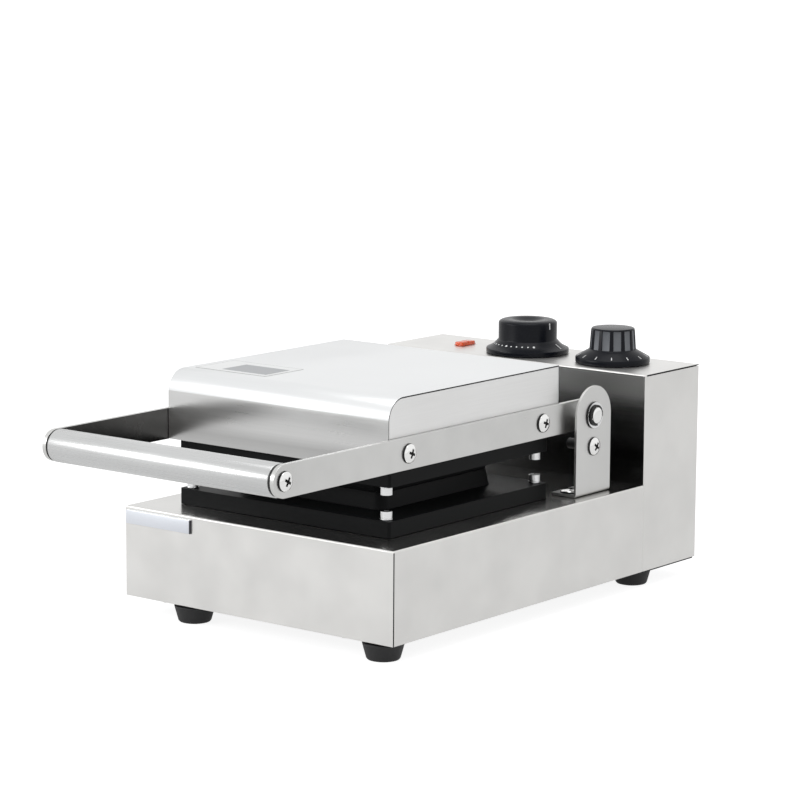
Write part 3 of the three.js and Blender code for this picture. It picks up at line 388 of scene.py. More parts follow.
# %% Metal finishes
metal = {"Metallic": 1.0}
recipes = {
    "base_steel": ((0.735, 0.73, 0.715), 0.05, (0.3, 0.42), clouds, 30, 0.0, metal),
    # The base's top: painted reflection of the dark castings above it, darker than the walls.
    "base_top_painted_reflection": ((0.62, 0.615, 0.6), 0.05, (0.19, 0.25), clouds, 30, 0.0, metal),
    "lid_steel": ((0.80, 0.81, 0.815), 0.015, (0.28, 0.36), grain, 900, 0.05, metal),
    "bracket_steel": ((0.65, 0.65, 0.64), 0.03, (0.34, 0.42), clouds, 45, 0.0, metal),
    # The lid's front: painted reflection of the handle bar and the arms in front of it.
    "lid_face_painted_reflection": ((0.64, 0.64, 0.635), 0.03, (0.26, 0.34), grain, 900, 0.05, metal),
    "side_steel": ((0.80, 0.80, 0.795), 0.03, (0.42, 0.5), grain, 900, 0.08, metal),
    "arm_steel": ((0.64, 0.64, 0.63), 0.05, (0.26, 0.36), clouds, 45, 0.0, metal),
    "handle_steel": ((0.60, 0.605, 0.605), 0.05, (0.24, 0.32), grain, 1100, 0.25, metal),
    # The arms' inner faces: painted shade and painted reflection, near black.
    "arm_inside_painted_shade": ((0.14, 0.138, 0.135), 0.1, (0.22, 0.3), clouds, 45, 0.0, metal),
    # The control box's front wall: painted reflection and painted shade, darker towards the bottom.
    "wall_painted_reflection": ((0.60, 0.60, 0.595), 0.05, (0.2, 0.28), grain, 900, 0.15, metal),
    # The sheets' cut faces: painted shade for the dark gap between two sheets.
    "cut_edge_painted_shade": ((0.03, 0.03, 0.032), 0.15, (0.45, 0.6), speckle, 900, 0.2, metal),
    # Screw recesses and the rims of screw heads and washers: painted shade. The stop screws' sleeves are
    # black.
    "black_sleeve_and_painted_shade": ((0.02, 0.02, 0.02), 0.1, (0.5, 0.6), speckle, 900, 0.1, {"Metallic": 0.5}),
    "bright_steel": ((0.86, 0.86, 0.85), 0.03, (0.08, 0.16), speckle, 900, 0.05, metal),
    "zinc": ((0.80, 0.805, 0.81), 0.05, (0.16, 0.26), speckle, 1500, 0.1, metal),
    "dark_sheet": ((0.14, 0.14, 0.145), 0.12, (0.4, 0.55), speckle, 400, 0.2, metal),
    "blackened": ((0.005, 0.005, 0.005), 0.2, (0.35, 0.5), speckle, 900, 0.1, {"Metallic": 0.3}),
    "sheath": ((0.09, 0.075, 0.06), 0.25, (0.5, 0.65), speckle, 500, 0.3, {"Metallic": 0.7}),
    "plate_silver": ((0.84, 0.87, 0.93), 0.02, (0.3, 0.4), speckle, 900, 0.05, {"Metallic": 0.5}),
}

# %% [markdown]
# The castings have a black non-stick coating that hardly shines. The knobs are half glossy, and the
# flats of the thermostat's flutes are a lighter grey: painted sheen, with a satin roughness. The lens
# lets a little light through. The rest is plastic, rubber, ceramic, paint and film.

# %% Coatings, plastics and prints
dull_coating = {"Specular IOR Level": 0.08}
half_gloss = {"Specular IOR Level": 0.16}
lens_glass = {"Transmission Weight": 0.1, "IOR": 1.49}
recipes.update({
    # The flute floors: painted sheen, a lighter grey than the knob's black.
    "flute_painted_sheen": ((0.17, 0.18, 0.197), 0.1, (0.4, 0.5), speckle, 2500, 0.1),
    "nonstick": ((0.008, 0.0085, 0.009), 0.15, (0.36, 0.5), speckle, 1500, 0.5, dull_coating),
    "knob_plastic": ((0.004, 0.005, 0.0085), 0.1, (0.24, 0.34), speckle, 2500, 0.12, half_gloss),
    "gland_plastic": ((0.02, 0.02, 0.02), 0.1, (0.4, 0.5), speckle, 1500, 0.2),
    "rubber": ((0.013, 0.013, 0.014), 0.15, (0.5, 0.7), speckle, 1200, 0.4),
    "phenolic": ((0.035, 0.024, 0.017), 0.15, (0.35, 0.5), speckle, 900, 0.2),
    "ceramic": ((0.68, 0.64, 0.55), 0.04, (0.55, 0.7), speckle, 1200, 0.2),
    "mark_paint": ((0.85, 0.86, 0.86), 0.02, (0.5, 0.6), speckle, 1500, 0.1),
    "plate_edge": ((0.02, 0.022, 0.03), 0.1, (0.3, 0.4), speckle, 900, 0.05),
    "label_film": ((0.80, 0.81, 0.81), 0.02, (0.3, 0.4), speckle, 900, 0.05),
    "label_line": ((0.25, 0.25, 0.245), 0.02, (0.3, 0.4), speckle, 900, 0.05),
    "label_grey": ((0.36, 0.37, 0.385), 0.06, (0.35, 0.45), speckle, 900, 0.05),
    "lamp_lens": ((0.80, 0.10, 0.02), 0.12, (0.1, 0.18), speckle, 700, 0.1, lens_glass),
})
finishes = {name: finish(name, *recipe) for name, recipe in recipes.items()}
# Painted reflection and shade: the control box's front wall is darker towards the bottom.
darken(finishes["wall_painted_reflection"], dark=105, clear=150, least=0.1)
# Painted reflection: a dark line across the lid's front under its bend, fading downwards and upwards.
darken(finishes["lid_face_painted_reflection"], dark=138, clear=112, least=0.72, above=(138, 146))
print(len(finishes), "finishes")

# %% [markdown]
# Each solid that stays on show takes a finish by its material slot in the record.

# %% Finishes for the solids
slot_finish = {
    "brushed_stainless": "base_steel",
    "polished_stainless": "arm_steel",
    "dark_steel": "dark_sheet",
    "nonstick_aluminium": "nonstick",
    "rubber": "rubber",
    "zinc_steel": "zinc",
    "blackened_steel": "blackened",
    "element_sheath": "sheath",
    "bakelite": "phenolic",
    "ceramic": "ceramic",
    "lamp_lens": "lamp_lens",
    "gland_plastic": "gland_plastic",
    "black_plastic": "knob_plastic",
}
node_slot = {entry["node"]: entry["material_slot"] for entry in frame["record"]["subparts"]}
for node_name, node in nodes.items():
    node.data.materials.clear()
    node.data.materials.append(finishes[slot_finish[node_slot[node_name]]])
print(len(set(node_slot.values())), "slots")

# %% [markdown]
# ## Helpers for the new pieces
#
# A piece is modelled about its own Z axis, then moved to its place, and the move is put into the
# mesh. `settle` gives it its finish and ties it to the body of the solid that it dresses.

# %% Modelling helpers
weld_distance = 0.001 * mm
x_axis, y_axis, z_axis = 0, 1, 2


def deselect():
    """Leaves edit mode and selects nothing."""
    if bpy.context.mode != "OBJECT":
        bpy.ops.object.mode_set(mode="OBJECT")
    bpy.ops.object.select_all(action="DESELECT")


def choose(obj):
    """Makes one object selected and active."""
    deselect()
    obj.select_set(True)
    bpy.context.view_layer.objects.active = obj


def turned(name, profile, steps):
    """A piece spun about Z from a profile of (radius, height) in millimetres."""
    deselect()
    bpy.ops.mesh.primitive_plane_add(size=1)
    obj = bpy.context.active_object
    obj.name = name
    bpy.ops.object.mode_set(mode="EDIT")
    bpy.ops.mesh.select_all(action="SELECT")
    bpy.ops.mesh.merge(type="CENTER")
    here = Vector((profile[0][0], 0, profile[0][1])) * mm
    bpy.ops.transform.translate(value=here)
    for radius, height in profile[1:]:
        there = Vector((radius, 0, height)) * mm
        bpy.ops.mesh.extrude_vertices_move(TRANSFORM_OT_translate={"value": there - here})
        here = there
    bpy.ops.mesh.select_all(action="SELECT")
    bpy.ops.mesh.spin(steps=steps, angle=2 * math.pi, center=(0, 0, 0), axis=(0, 0, 1))
    bpy.ops.mesh.select_all(action="SELECT")
    bpy.ops.mesh.remove_doubles(threshold=weld_distance)
    bpy.ops.mesh.normals_make_consistent(inside=False)
    bpy.ops.object.mode_set(mode="OBJECT")
    return obj


def block(name, size, centre=(0, 0, 0)):
    """A box of a size in millimetres about a centre."""
    deselect()
    bpy.ops.mesh.primitive_cube_add(size=1, location=Vector(centre) * mm)
    obj = bpy.context.active_object
    obj.name = name
    obj.scale = Vector(size) * mm
    bpy.ops.object.transform_apply(location=True, rotation=True, scale=True)
    return obj


def shade(obj, angle):
    """Shades a piece smooth, apart from the edges that turn by more than an angle in degrees."""
    choose(obj)
    bpy.ops.object.shade_smooth_by_angle(angle=math.radians(angle))


def soften(obj, width, segments=2, angle=30, smooth=35):
    """Bevels the sharp edges and shades the rest smooth."""
    choose(obj)
    modifier = obj.modifiers.new("soft_edges", "BEVEL")
    modifier.width = width * mm
    modifier.segments = segments
    modifier.limit_method = "ANGLE"
    modifier.angle_limit = math.radians(angle)
    bpy.ops.object.modifier_apply(modifier=modifier.name)
    shade(obj, smooth)
    return obj


def carve(obj, cutter):
    """Cuts one piece with another, which is used up."""
    choose(obj)
    modifier = obj.modifiers.new("cut", "BOOLEAN")
    modifier.operation = "DIFFERENCE"
    modifier.object = cutter
    modifier.solver = "EXACT"
    bpy.ops.object.modifier_apply(modifier=modifier.name)
    bpy.data.objects.remove(cutter)


def merged(pieces):
    """Joins pieces into the first one."""
    deselect()
    for one in pieces:
        one.select_set(True)
    bpy.context.view_layer.objects.active = pieces[0]
    bpy.ops.object.join()
    return pieces[0]


def twin(obj, name):
    """A copy with its own mesh."""
    copy = obj.copy()
    copy.data = obj.data.copy()
    copy.name = name
    scene.collection.objects.link(copy)
    return copy


def put(obj, place, direction=(0, 0, 1), spin=0.0):
    """Turns a piece about its axis, points the axis along a direction and moves it to a place."""
    aim = Vector((0, 0, 1)).rotation_difference(Vector(direction)).to_matrix().to_4x4()
    obj.data.transform(Matrix.Translation(Vector(place)) @ aim @ Matrix.Rotation(spin, 4, "Z"))


def settle(obj, node, look, replaces=True):
    """Gives a piece its first finish and ties it to the body of a solid, which it may replace."""
    if not obj.data.materials:
        obj.data.materials.append(None)
    obj.data.materials[0] = finishes[look]
    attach(obj, body_of[node])
    if replaces:
        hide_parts(node)


def second_finish(obj, look, chosen):
    """Gives another finish to the faces that a test on centre and normal picks out."""
    obj.data.materials.append(finishes[look])
    index = len(obj.data.materials) - 1
    picked = [face for face in obj.data.polygons if chosen(face.center, face.normal)]
    for face in picked:
        face.material_index = index
    print(obj.name, len(picked), "faces in", look)


def seat_of(node, axis, way, depth=0):
    """The middle of a solid's end along an axis, moved inwards by a depth in millimetres."""
    low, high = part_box(node)
    seat = (low + high) / 2
    seat[axis] = (high if way > 0 else low)[axis] - way * depth * mm
    return seat


def named(*beginnings):
    """The solids whose names start with one of some words, in the order of their names."""
    return sorted(name for name in nodes if name.startswith(beginnings))


# %% [markdown]
# ## Sheet metal and castings
#
# Folded sheet is never quite sharp: each cut edge is rubbed down and catches a thin line of light.
# The solids have the right shape already, so a copy of each has its loose triangles merged, the flat
# ones dissolved into whole faces, and a small bevel run along every edge. The narrow cut faces of the
# folded sheets are painted near black: painted shade that stands in for the shadowed gap between two
# sheets.

# %% Softened copies
softened = {
    "base_shell": ("base_steel", 0.25),
    "control_box_shell": ("base_steel", 0.25),
    "control_box_cover": ("dark_sheet", 0.25),
    "base_floor": ("dark_sheet", 0.25),
    "lid_cover": ("lid_steel", 0.25),
    "lid_side_left": ("side_steel", 0.2),
    "lid_side_right": ("side_steel", 0.2),
    "hinge_bracket_left": ("bracket_steel", 0.3),
    "hinge_bracket_right": ("bracket_steel", 0.3),
    "arm_left": ("arm_steel", 0.35),
    "arm_right": ("arm_steel", 0.35),
    "lower_plate": ("nonstick", 0.5),
    "upper_plate": ("nonstick", 0.5),
    "pivot_clip_left": ("blackened", 0.12),
    "pivot_clip_right": ("blackened", 0.12),
}
folded_sheets = ("base_shell", "control_box_shell", "control_box_cover", "lid_cover")
sheet_thickness = 0.8
widely_bent = "lid_cover"


def is_cut_edge(face):
    """True for a straight upright face that is as narrow as the sheet is thick."""
    corners = [face.id_data.vertices[index].co for index in face.vertices]
    around = sum((corners[k] - corners[k - 1]).length for k in range(len(corners)))
    narrow = 2 * face.area / around < 1.15 * sheet_thickness * mm
    return narrow and max(abs(value) for value in face.normal) > 0.999 and abs(face.normal.z) < 0.5


def flatten_shading(obj):
    """Lets the large faces set the normals, so that they look flat and only the bevels are round."""
    choose(obj)
    modifier = obj.modifiers.new("flat_faces", "WEIGHTED_NORMAL")
    modifier.keep_sharp = True
    modifier.weight = 100
    bpy.ops.object.modifier_apply(modifier=modifier.name)


def soft_copy(node, look, width):
    """A copy of a solid with whole faces and soft edges."""
    copy = bpy.data.objects.new(f"{node}_dressed", nodes[node].data.copy())
    scene.collection.objects.link(copy)
    choose(copy)
    bpy.ops.object.mode_set(mode="EDIT")
    bpy.ops.mesh.select_all(action="SELECT")
    bpy.ops.mesh.remove_doubles(threshold=2 * weld_distance)
    bpy.ops.mesh.dissolve_limited(angle_limit=math.radians(0.5))
    bpy.ops.object.mode_set(mode="OBJECT")
    # The narrow cut faces get painted shade.
    if node in folded_sheets:
        copy.data.materials.append(finishes["cut_edge_painted_shade"])
        for face in copy.data.polygons:
            if is_cut_edge(face):
                face.material_index = 1
    soften(copy, width)
    if node != widely_bent:
        flatten_shading(copy)
    settle(copy, node, look)
    print(copy.name, len(copy.data.polygons), "faces")
    return copy


dressed = {node_name: soft_copy(node_name, *row) for node_name, row in softened.items()}

# %% [markdown]
# Some faces are painted darker than the sheet around them, as painted reflection of the dark parts
# that they face and painted shade between the parts: the control box's front wall behind the lid, the
# arms' inner faces, the base's top under the castings and the lid's front. Each lies on one side of
# its solid's box, so it is picked by that plane and gets a second finish.

# %% Darkened faces
low_side, high_side = 0, 1
plane_depth = 0.1 * mm
darkened = {
    "control_box_shell": ("wall_painted_reflection", low_side, y_axis),
    "base_shell": ("base_top_painted_reflection", high_side, z_axis),
    "arm_left": ("arm_inside_painted_shade", high_side, x_axis),
    "arm_right": ("arm_inside_painted_shade", low_side, x_axis),
    "lid_cover": ("lid_face_painted_reflection", low_side, y_axis),
}


def lies_on(node, side, axis):
    """A test for the faces that lie on one side of a solid's box."""
    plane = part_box(node)[side][axis]
    return lambda place, normal: abs(place[axis] - plane) < plane_depth


for node_name, (look, side, axis) in darkened.items():
    second_finish(dressed[node_name], look, lies_on(node_name, side, axis))

# %% [markdown]
# ## Screws
#
# The flat round-headed screws that hold the arms, the handle bar and the brackets have a cross
# recess. The head is spun from its profile, and the recess is cut by two crossed wedges. Each screw is
# a copy of a model, turned a little differently, as no fitter lines up recesses.

# %% Cross-recessed screws
head_radius = 7
shank_radius = 2.5
head_profile = [
    (head_radius, 0), (head_radius, 0.5), (6.8, 0.95), (6.1, 1.6), (4.9, 2.15), (3.2, 2.6),
    (1.5, 2.78), (0, 2.8),
]
head_height = head_profile[-1][1]
head_recess = {"reach": 4.1, "width": 2.1, "top": 3.3, "depth": 2.4}
wedge_taper = (0.4, 0.55)
dome_fall = 1.6
rim_start = 6.6
rim_top = 1.1


def cut_recess(screw, reach, width, top, depth):
    """Cuts a cross recess with two crossed wedges that taper downwards."""
    halfway = top - depth / 2
    for k in range(2):
        wedge = block("recess_wedge", (2 * reach, width, depth), (0, 0, halfway))
        for vertex in wedge.data.vertices:
            if vertex.co.z < halfway * mm:
                vertex.co.x *= wedge_taper[0]
                vertex.co.y *= wedge_taper[1]
        wedge.data.transform(Matrix.Rotation(k * math.pi / 2, 4, "Z"))
        carve(screw, wedge)


# The recess, the underside and the rim of the head get painted shade, for the shade in the hollow and
# under the head's edge.
def in_recess(centre, normal):
    """True for faces inside the recess, or on the underside and the rim of the head."""
    outward = math.hypot(centre.x, centre.y) / mm
    height = centre.z / mm
    dome = head_height - dome_fall * (outward / head_radius) ** 2
    inside = outward < head_recess["reach"] and 0.1 < height < dome - 0.12
    return inside or (outward > rim_start and -0.1 < height < rim_top)


def plain_shank(length):
    """The profile of a screw's shank below the head."""
    return [(0, -length), (shank_radius, -length), (shank_radius, 0)]


def cross_screw(name, below_head, dark_faces=in_recess):
    """A flat round-headed screw, its head resting on zero."""
    screw = turned(name, below_head + head_profile, 48)
    cut_recess(screw, **head_recess)
    soften(screw, 0.08, segments=1, angle=40)
    screw.data.materials.append(finishes["bright_steel"])
    second_finish(screw, "black_sleeve_and_painted_shade", dark_faces)
    return screw


def dress_side_screws(beginning, model, first_turn):
    """Copies of a screw on the solids that stand out to the sides, and uses the model up."""
    for index, node in enumerate(named(beginning)):
        way = 1 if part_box(node)[0].x > 0 else -1
        screw = twin(model, f"{node}_dressed")
        seat = seat_of(node, x_axis, way, head_height)
        put(screw, seat, (way, 0, 0), first_turn + 0.8 * index)
        settle(screw, node, "bright_steel")
    bpy.data.objects.remove(model)


arm_shank = 13.2
handle_shank = 19.2
dress_side_screws("arm_screw_", cross_screw("arm_screw_model", plain_shank(arm_shank)), 0.4)
dress_side_screws("handle_screw_", cross_screw("handle_screw_model", plain_shank(handle_shank)), 0.25)

# %% [markdown]
# The same head holds the brackets down on the base. The stop screw below each pivot carries a dark
# sleeve, which the arm's tail meets when the lid is fully open.

# %% Bracket screws and stop screws
bracket_shank = 8.4
bracket_screw = cross_screw("bracket_screw_model", plain_shank(bracket_shank))
for index, node_name in enumerate(named("bracket_screw_")):
    screw = twin(bracket_screw, f"{node_name}_dressed")
    put(screw, seat_of(node_name, z_axis, 1, head_height), (0, 0, 1), 0.3 + 0.7 * index)
    settle(screw, node_name, "bright_steel")
bpy.data.objects.remove(bracket_screw)

sleeve_profile = [
    (0, -22.6), (3.6, -22.6), (4, -22.2), (4, -2.6), (shank_radius, -2.6), (shank_radius, 0),
]
sleeve_top = -2


def on_sleeve(centre, normal):
    """True for the sleeve, which is black, and for the faces of the head that get painted shade."""
    return centre.z < sleeve_top * mm or in_recess(centre, normal)


dress_side_screws("stop_screw_", cross_screw("stop_screw_model", sleeve_profile, on_sleeve), 0.15)

# %% [markdown]
# The castings are held by cap screws: a knurled head with a hexagonal socket, on a split spring
# washer. The knurl is made by pulling every second edge of the head inwards.

# %% Cap screws
cap_radius = 4.25
cap_height = 5
washer_height = 1
cap_top = washer_height + cap_height
socket_radius = 2.3
knurl_share = 0.965
washer_profile = [
    (2.6, 0.05), (4.5, 0.05), (4.6, 0.15), (4.6, 0.85), (4.5, 0.95), (2.6, 0.95), (2.6, 0.05),
]


def cap_screw(name, shank):
    """A cap screw with its spring washer, the washer resting on zero."""
    deselect()
    bpy.ops.mesh.primitive_cylinder_add(
        vertices=64, radius=cap_radius * mm, depth=cap_height * mm,
        location=(0, 0, (washer_height + cap_height / 2) * mm),
    )
    head = bpy.context.active_object
    head.name = name
    bpy.ops.object.transform_apply(location=True, rotation=True, scale=True)
    around = sorted(head.data.vertices, key=lambda vertex: math.atan2(vertex.co.y, vertex.co.x))
    for index, vertex in enumerate(around):
        if (index // 2) % 2 == 0:
            vertex.co.x *= knurl_share
            vertex.co.y *= knurl_share
    bpy.ops.mesh.primitive_cylinder_add(
        vertices=6, radius=socket_radius * mm, depth=cap_height * mm, location=(0, 0, cap_top * mm)
    )
    carve(head, bpy.context.active_object)
    washer = turned(f"{name}_washer", washer_profile, 48)
    carve(washer, block("split", (3, 0.5, 3), (3.6, 0, 0.5)))
    bolt_tip = [(0, -shank), (2.2, -shank), (shank_radius, 0.4 - shank)]
    bolt_profile = bolt_tip + [(shank_radius, 1.05), (0, 1.05)]
    bolt = turned(f"{name}_shank", bolt_profile, 32)
    return soften(merged([head, washer, bolt]), 0.12, segments=1, angle=40, smooth=30)


lower_shank = 16.8
upper_shank = 17.8
spin_per_metre = 9
for beginning, shank, way in (("lower", lower_shank, 1), ("upper", upper_shank, -1)):
    cap = cap_screw(f"{beginning}_cap_model", shank)
    for node_name in named(f"{beginning}_screw_"):
        screw = twin(cap, f"{node_name}_dressed")
        seat = seat_of(node_name, z_axis, way, cap_top)
        put(screw, seat, (0, 0, way), seat.x * spin_per_metre)
        settle(screw, node_name, "zinc")
    bpy.data.objects.remove(cap)
print(len(named("lower_screw_", "upper_screw_")), "cap screws")

# %% [markdown]
# ## Hinge pins
#
# Each pin has a head inside the arm and stands out of the bracket with a crowned end. A washer lies
# under the black retaining ring that sits in the pin's groove.

# %% Pins, washers and bushes
pin_head = [(0, -14.9), (7.6, -14.9), (8, -14.5), (8, -12.5)]
pin_groove = [(6, -12.5), (6, 1.45), (4.8, 1.45), (4.8, 2.75), (6, 2.75)]
pin_crown = [(6, 3.2), (5.75, 3.5), (5.2, 3.76), (3.6, 4.03), (1.8, 4.16), (0, 4.2)]
pin_rise = pin_crown[-1][1]
ring_bore = 6.3
washer_rim = 9.8
pin = turned("pin_model", pin_head + pin_groove + pin_crown, 64)
soften(pin, 0.1, segments=1, angle=50)
for side, way in (("left", -1), ("right", 1)):
    name = f"pivot_pin_{side}"
    pin_copy = twin(pin, f"{name}_dressed")
    put(pin_copy, seat_of(name, x_axis, way, pin_rise), (way, 0, 0))
    settle(pin_copy, name, "bright_steel")
    for part, outer, edge in (("washer", 10, 0.15), ("bush", 9, 0.3)):
        name = f"pivot_{part}_{side}"
        low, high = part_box(name)
        half = (high.x - low.x) / (2 * mm)
        ring_profile = [
            (ring_bore, -half), (outer - edge, -half), (outer, edge - half), (outer, half - edge),
            (outer - edge, half), (ring_bore, half), (ring_bore, -half),
        ]
        ring = turned(f"{name}_dressed", ring_profile, 64)
        soften(ring, 0.05, segments=1, angle=50)
        settle(ring, name, "zinc")
        # The washer's outer rim gets painted shade: a dark outline for the shadow at its edge.
        if part == "washer":
            second_finish(
                ring, "black_sleeve_and_painted_shade", lambda place, normal: math.hypot(place.x, place.y) > washer_rim * mm
            )
        put(ring, (low + high) / 2, (way, 0, 0))
bpy.data.objects.remove(pin)

# %% [markdown]
# ## Handle bar
#
# A ground stainless bar between the arms. Its ends are turned down, and a black ring in each end
# stands in for the shadowed gap between the bar's shoulder and each arm: painted shade. The bar is spun
# with eased shoulders, and its grain runs along it.

# %% Handle
bar_low, bar_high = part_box("handle_bar")
bar_centre = (bar_low + bar_high) / 2
bar_half = (bar_high.x - bar_low.x) / (2 * mm)
bar_radius = (bar_high.z - bar_low.z) / (2 * mm)
bore_radius = 2.8
bore_floor = bar_half - 16
spigot_radius = 9
spigot_length = 1.3
shoulder = bar_half - spigot_length
right_end = [
    (bar_radius, shoulder - 0.7), (bar_radius - 0.2, shoulder - 0.2), (bar_radius - 0.7, shoulder),
    (spigot_radius, shoulder), (spigot_radius, bar_half), (bore_radius, bar_half),
    (bore_radius, bore_floor), (0, bore_floor),
]
left_end = [(radius, -place) for radius, place in reversed(right_end)]
handle = turned("handle_bar_dressed", left_end + right_end, 96)
shade(handle, 35)
put(handle, bar_centre, (1, 0, 0))
settle(handle, "handle_bar", "handle_steel")
ring_inner = spigot_radius + 0.1
ring_outer = bar_radius - 0.6
ring_profile = [
    (ring_inner, 0.1), (ring_outer - 0.2, 0.1), (ring_outer, 0.3), (ring_outer, spigot_length - 0.2),
    (ring_outer - 0.2, spigot_length), (ring_inner, spigot_length), (ring_inner, 0.1),
]
for side, way in (("left", -1), ("right", 1)):
    # A black ring stands in for the shadowed gap at each end of the bar: painted shade.
    ring = turned(f"handle_shade_ring_{side}", ring_profile, 64)
    shade(ring, 35)
    put(ring, bar_centre + Vector((way * shoulder * mm, 0, 0)), (way, 0, 0))
    settle(ring, "handle_bar", "gland_plastic", replaces=False)
print("handle bar", round(2 * bar_half, 1), "mm long,", round(2 * bar_radius, 1), "mm thick")

# %% [markdown]
# ## Knobs
#
# Both knobs are pressed phenolic, half glossy. The timer's is a large cup with a flared skirt, a
# rolled lip and a dished top, so one spun profile gives all of it.

# %% Timer knob
knob_socket = [(0, -12), (2.8, -12), (3, -11.8), (3, 6), (10.7, 6)]
timer_height = 26.3
cup_radius = 23.1
lip_width = 6
lip_height = 2.8
dish_radius = 12.5
dish_depth = 3
dish_steps = 7
timer_base = seat_of("timer_knob", z_axis, 1, timer_height)
timer_skirt = [
    (27, 2), (27, 0), (32.1, 0), (32.55, 0.2), (32.7, 0.7), (32.7, 3.0), (32.5, 3.6), (31.2, 4.2),
    (29.4, 5.05), (27.8, 6.0), (26.4, 7.1), (25.1, 8.4), (24.1, 9.7), (23.3, 10.3), (cup_radius, 10.9),
]
timer_lip = []
for angle in range(0, 91, 15):
    inwards = lip_width * (1 - math.cos(math.radians(angle)))
    downwards = lip_height * (1 - math.sin(math.radians(angle)))
    timer_lip.append((cup_radius - inwards, timer_height - downwards))
timer_dish = [(dish_radius + 0.8, timer_height), (dish_radius + 0.2, timer_height - 0.15)]
for step in range(1, dish_steps + 1):
    share = 1 - step / dish_steps
    timer_dish.append((dish_radius * share, timer_height - dish_depth * (1 - share**2)))
timer_knob = turned("timer_knob_dressed", knob_socket + timer_skirt + timer_lip + timer_dish, 128)
shade(timer_knob, 32)
put(timer_knob, timer_base)
settle(timer_knob, "timer_knob", "knob_plastic")
print(timer_knob.name, len(timer_knob.data.polygons), "faces")

# %% [markdown]
# The thermostat's knob is a tapered grip with twelve flat flutes above a cone. It is spun first, and
# a leaning block then cuts each flute.

# %% Thermostat knob
thermostat_height = 26.9
flute_count = 12
first_flute = 16
flute_size = (2.4, 6.2, 15.2)
flute_floor = 16.44
flute_middle = 18.1
flute_lean = math.radians(4.2)
thermostat_base = seat_of("thermostat_knob", z_axis, 1, thermostat_height)
thermostat_skirt = [(23.2, 2), (23.2, 0), (28.3, 0), (28.75, 0.2), (28.9, 0.7), (28.9, 3.9), (28.6, 4.4)]
thermostat_grip = [
    (19.0, 9.8), (18.1, 10.5), (18.0, 10.9), (16.9, 25.6), (16.6, 26.4), (16.0, thermostat_height),
    (0, thermostat_height),
]
thermostat_profile = knob_socket + thermostat_skirt + thermostat_grip
thermostat_knob = turned("thermostat_knob_dressed", thermostat_profile, 168)
for k in range(flute_count):
    azimuth = math.radians(first_flute + k * 360 / flute_count)
    flute = block("flute", flute_size, (flute_size[0] / 2, 0, 0))
    flute.data.transform(Matrix.Rotation(-flute_lean, 4, "Y"))
    flute.data.transform(Matrix.Translation(Vector((flute_floor, 0, flute_middle)) * mm))
    flute.data.transform(Matrix.Rotation(azimuth, 4, "Z"))
    carve(thermostat_knob, flute)
soften(thermostat_knob, 0.2, angle=32, smooth=32)
settle(thermostat_knob, "thermostat_knob", "knob_plastic")


def is_flute_floor(centre, normal):
    """True for the flat faces at the bottom of the flutes, in the knob's own place."""
    outward = math.hypot(centre.x, centre.y) / mm
    height = centre.z / mm
    leaning = outward + (height - flute_middle) * math.tan(flute_lean)
    return abs(leaning - flute_floor) < 0.5 and abs(normal.z) < 0.2 and 11 < height < 25.6


# The flute floors get painted sheen, a lighter grey than the knob.
second_finish(thermostat_knob, "flute_painted_sheen", is_flute_floor)
put(thermostat_knob, thermostat_base)

# %% [markdown]
# The marks on the skirts are printed in white: a row of dots with a larger one at every fifth place
# on the timer, radial ticks on the thermostat. They are thin raised pads that follow the cone, so that
# they turn with the knob.

# %% Timer marks
pad_thickness = 0.3


def onto_cone(pad, base, azimuth, spot, slope):
    """Leans a pad along a cone's slope, moves it out to a spot and turns it to an azimuth."""
    pad.data.transform(Matrix.Rotation(slope, 4, "Y"))
    pad.data.transform(Matrix.Translation(Vector((spot[0], 0, spot[1])) * mm))
    pad.data.transform(Matrix.Rotation(math.radians(azimuth), 4, "Z"))
    pad.data.transform(Matrix.Translation(base))
    return pad


def tick_on_cone(name, base, azimuth, inner, outer, width):
    """A thin pad along a cone's slope between two (radius, height) points."""
    (r0, z0), (r1, z1) = inner, outer
    pad = block(name, (math.hypot(r1 - r0, z1 - z0), width, pad_thickness))
    halfway = ((r0 + r1) / 2, (z0 + z1) / 2)
    return onto_cone(pad, base, azimuth, halfway, math.atan2(z0 - z1, r1 - r0))


def dot_on_cone(name, base, azimuth, spot, slope, radius):
    """A small round pad on a cone's slope."""
    deselect()
    bpy.ops.mesh.primitive_cylinder_add(vertices=20, radius=radius * mm, depth=pad_thickness * mm)
    dot = bpy.context.active_object
    dot.name = name
    return onto_cone(dot, base, azimuth, spot, slope)


dot_count = 27
first_dot = -43.5
dot_spacing = 10
dot_spot = (26.4, 7.2)
dot_slope = math.radians(40)
large_dot, small_dot = 0.95, 0.62
index_azimuth = math.radians(-6)
timer_marks = []
for k in range(dot_count):
    dot_radius = large_dot if k % 5 == 0 else small_dot
    dot_azimuth = first_dot - dot_spacing * k
    timer_marks.append(dot_on_cone(f"dot_{k}", timer_base, dot_azimuth, dot_spot, dot_slope, dot_radius))
timer_marks.append(tick_on_cone("timer_tick", timer_base, 5.5, (25.6, 8.0), (30.6, 4.6), 0.75))
index_line = block("timer_index", (0.4, 1.1, 4.8), (cup_radius, 0, 22.3))
for vertex in index_line.data.vertices:
    if vertex.co.z > 23 * mm:
        vertex.co.x -= 0.25 * mm
index_line.data.transform(Matrix.Translation(timer_base) @ Matrix.Rotation(index_azimuth, 4, "Z"))
timer_print = merged(timer_marks + [index_line])
timer_print.name = "timer_marks"
settle(soften(timer_print, 0.08, segments=1), "timer_knob", "mark_paint", replaces=False)
print(dot_count, "dots on the timer")

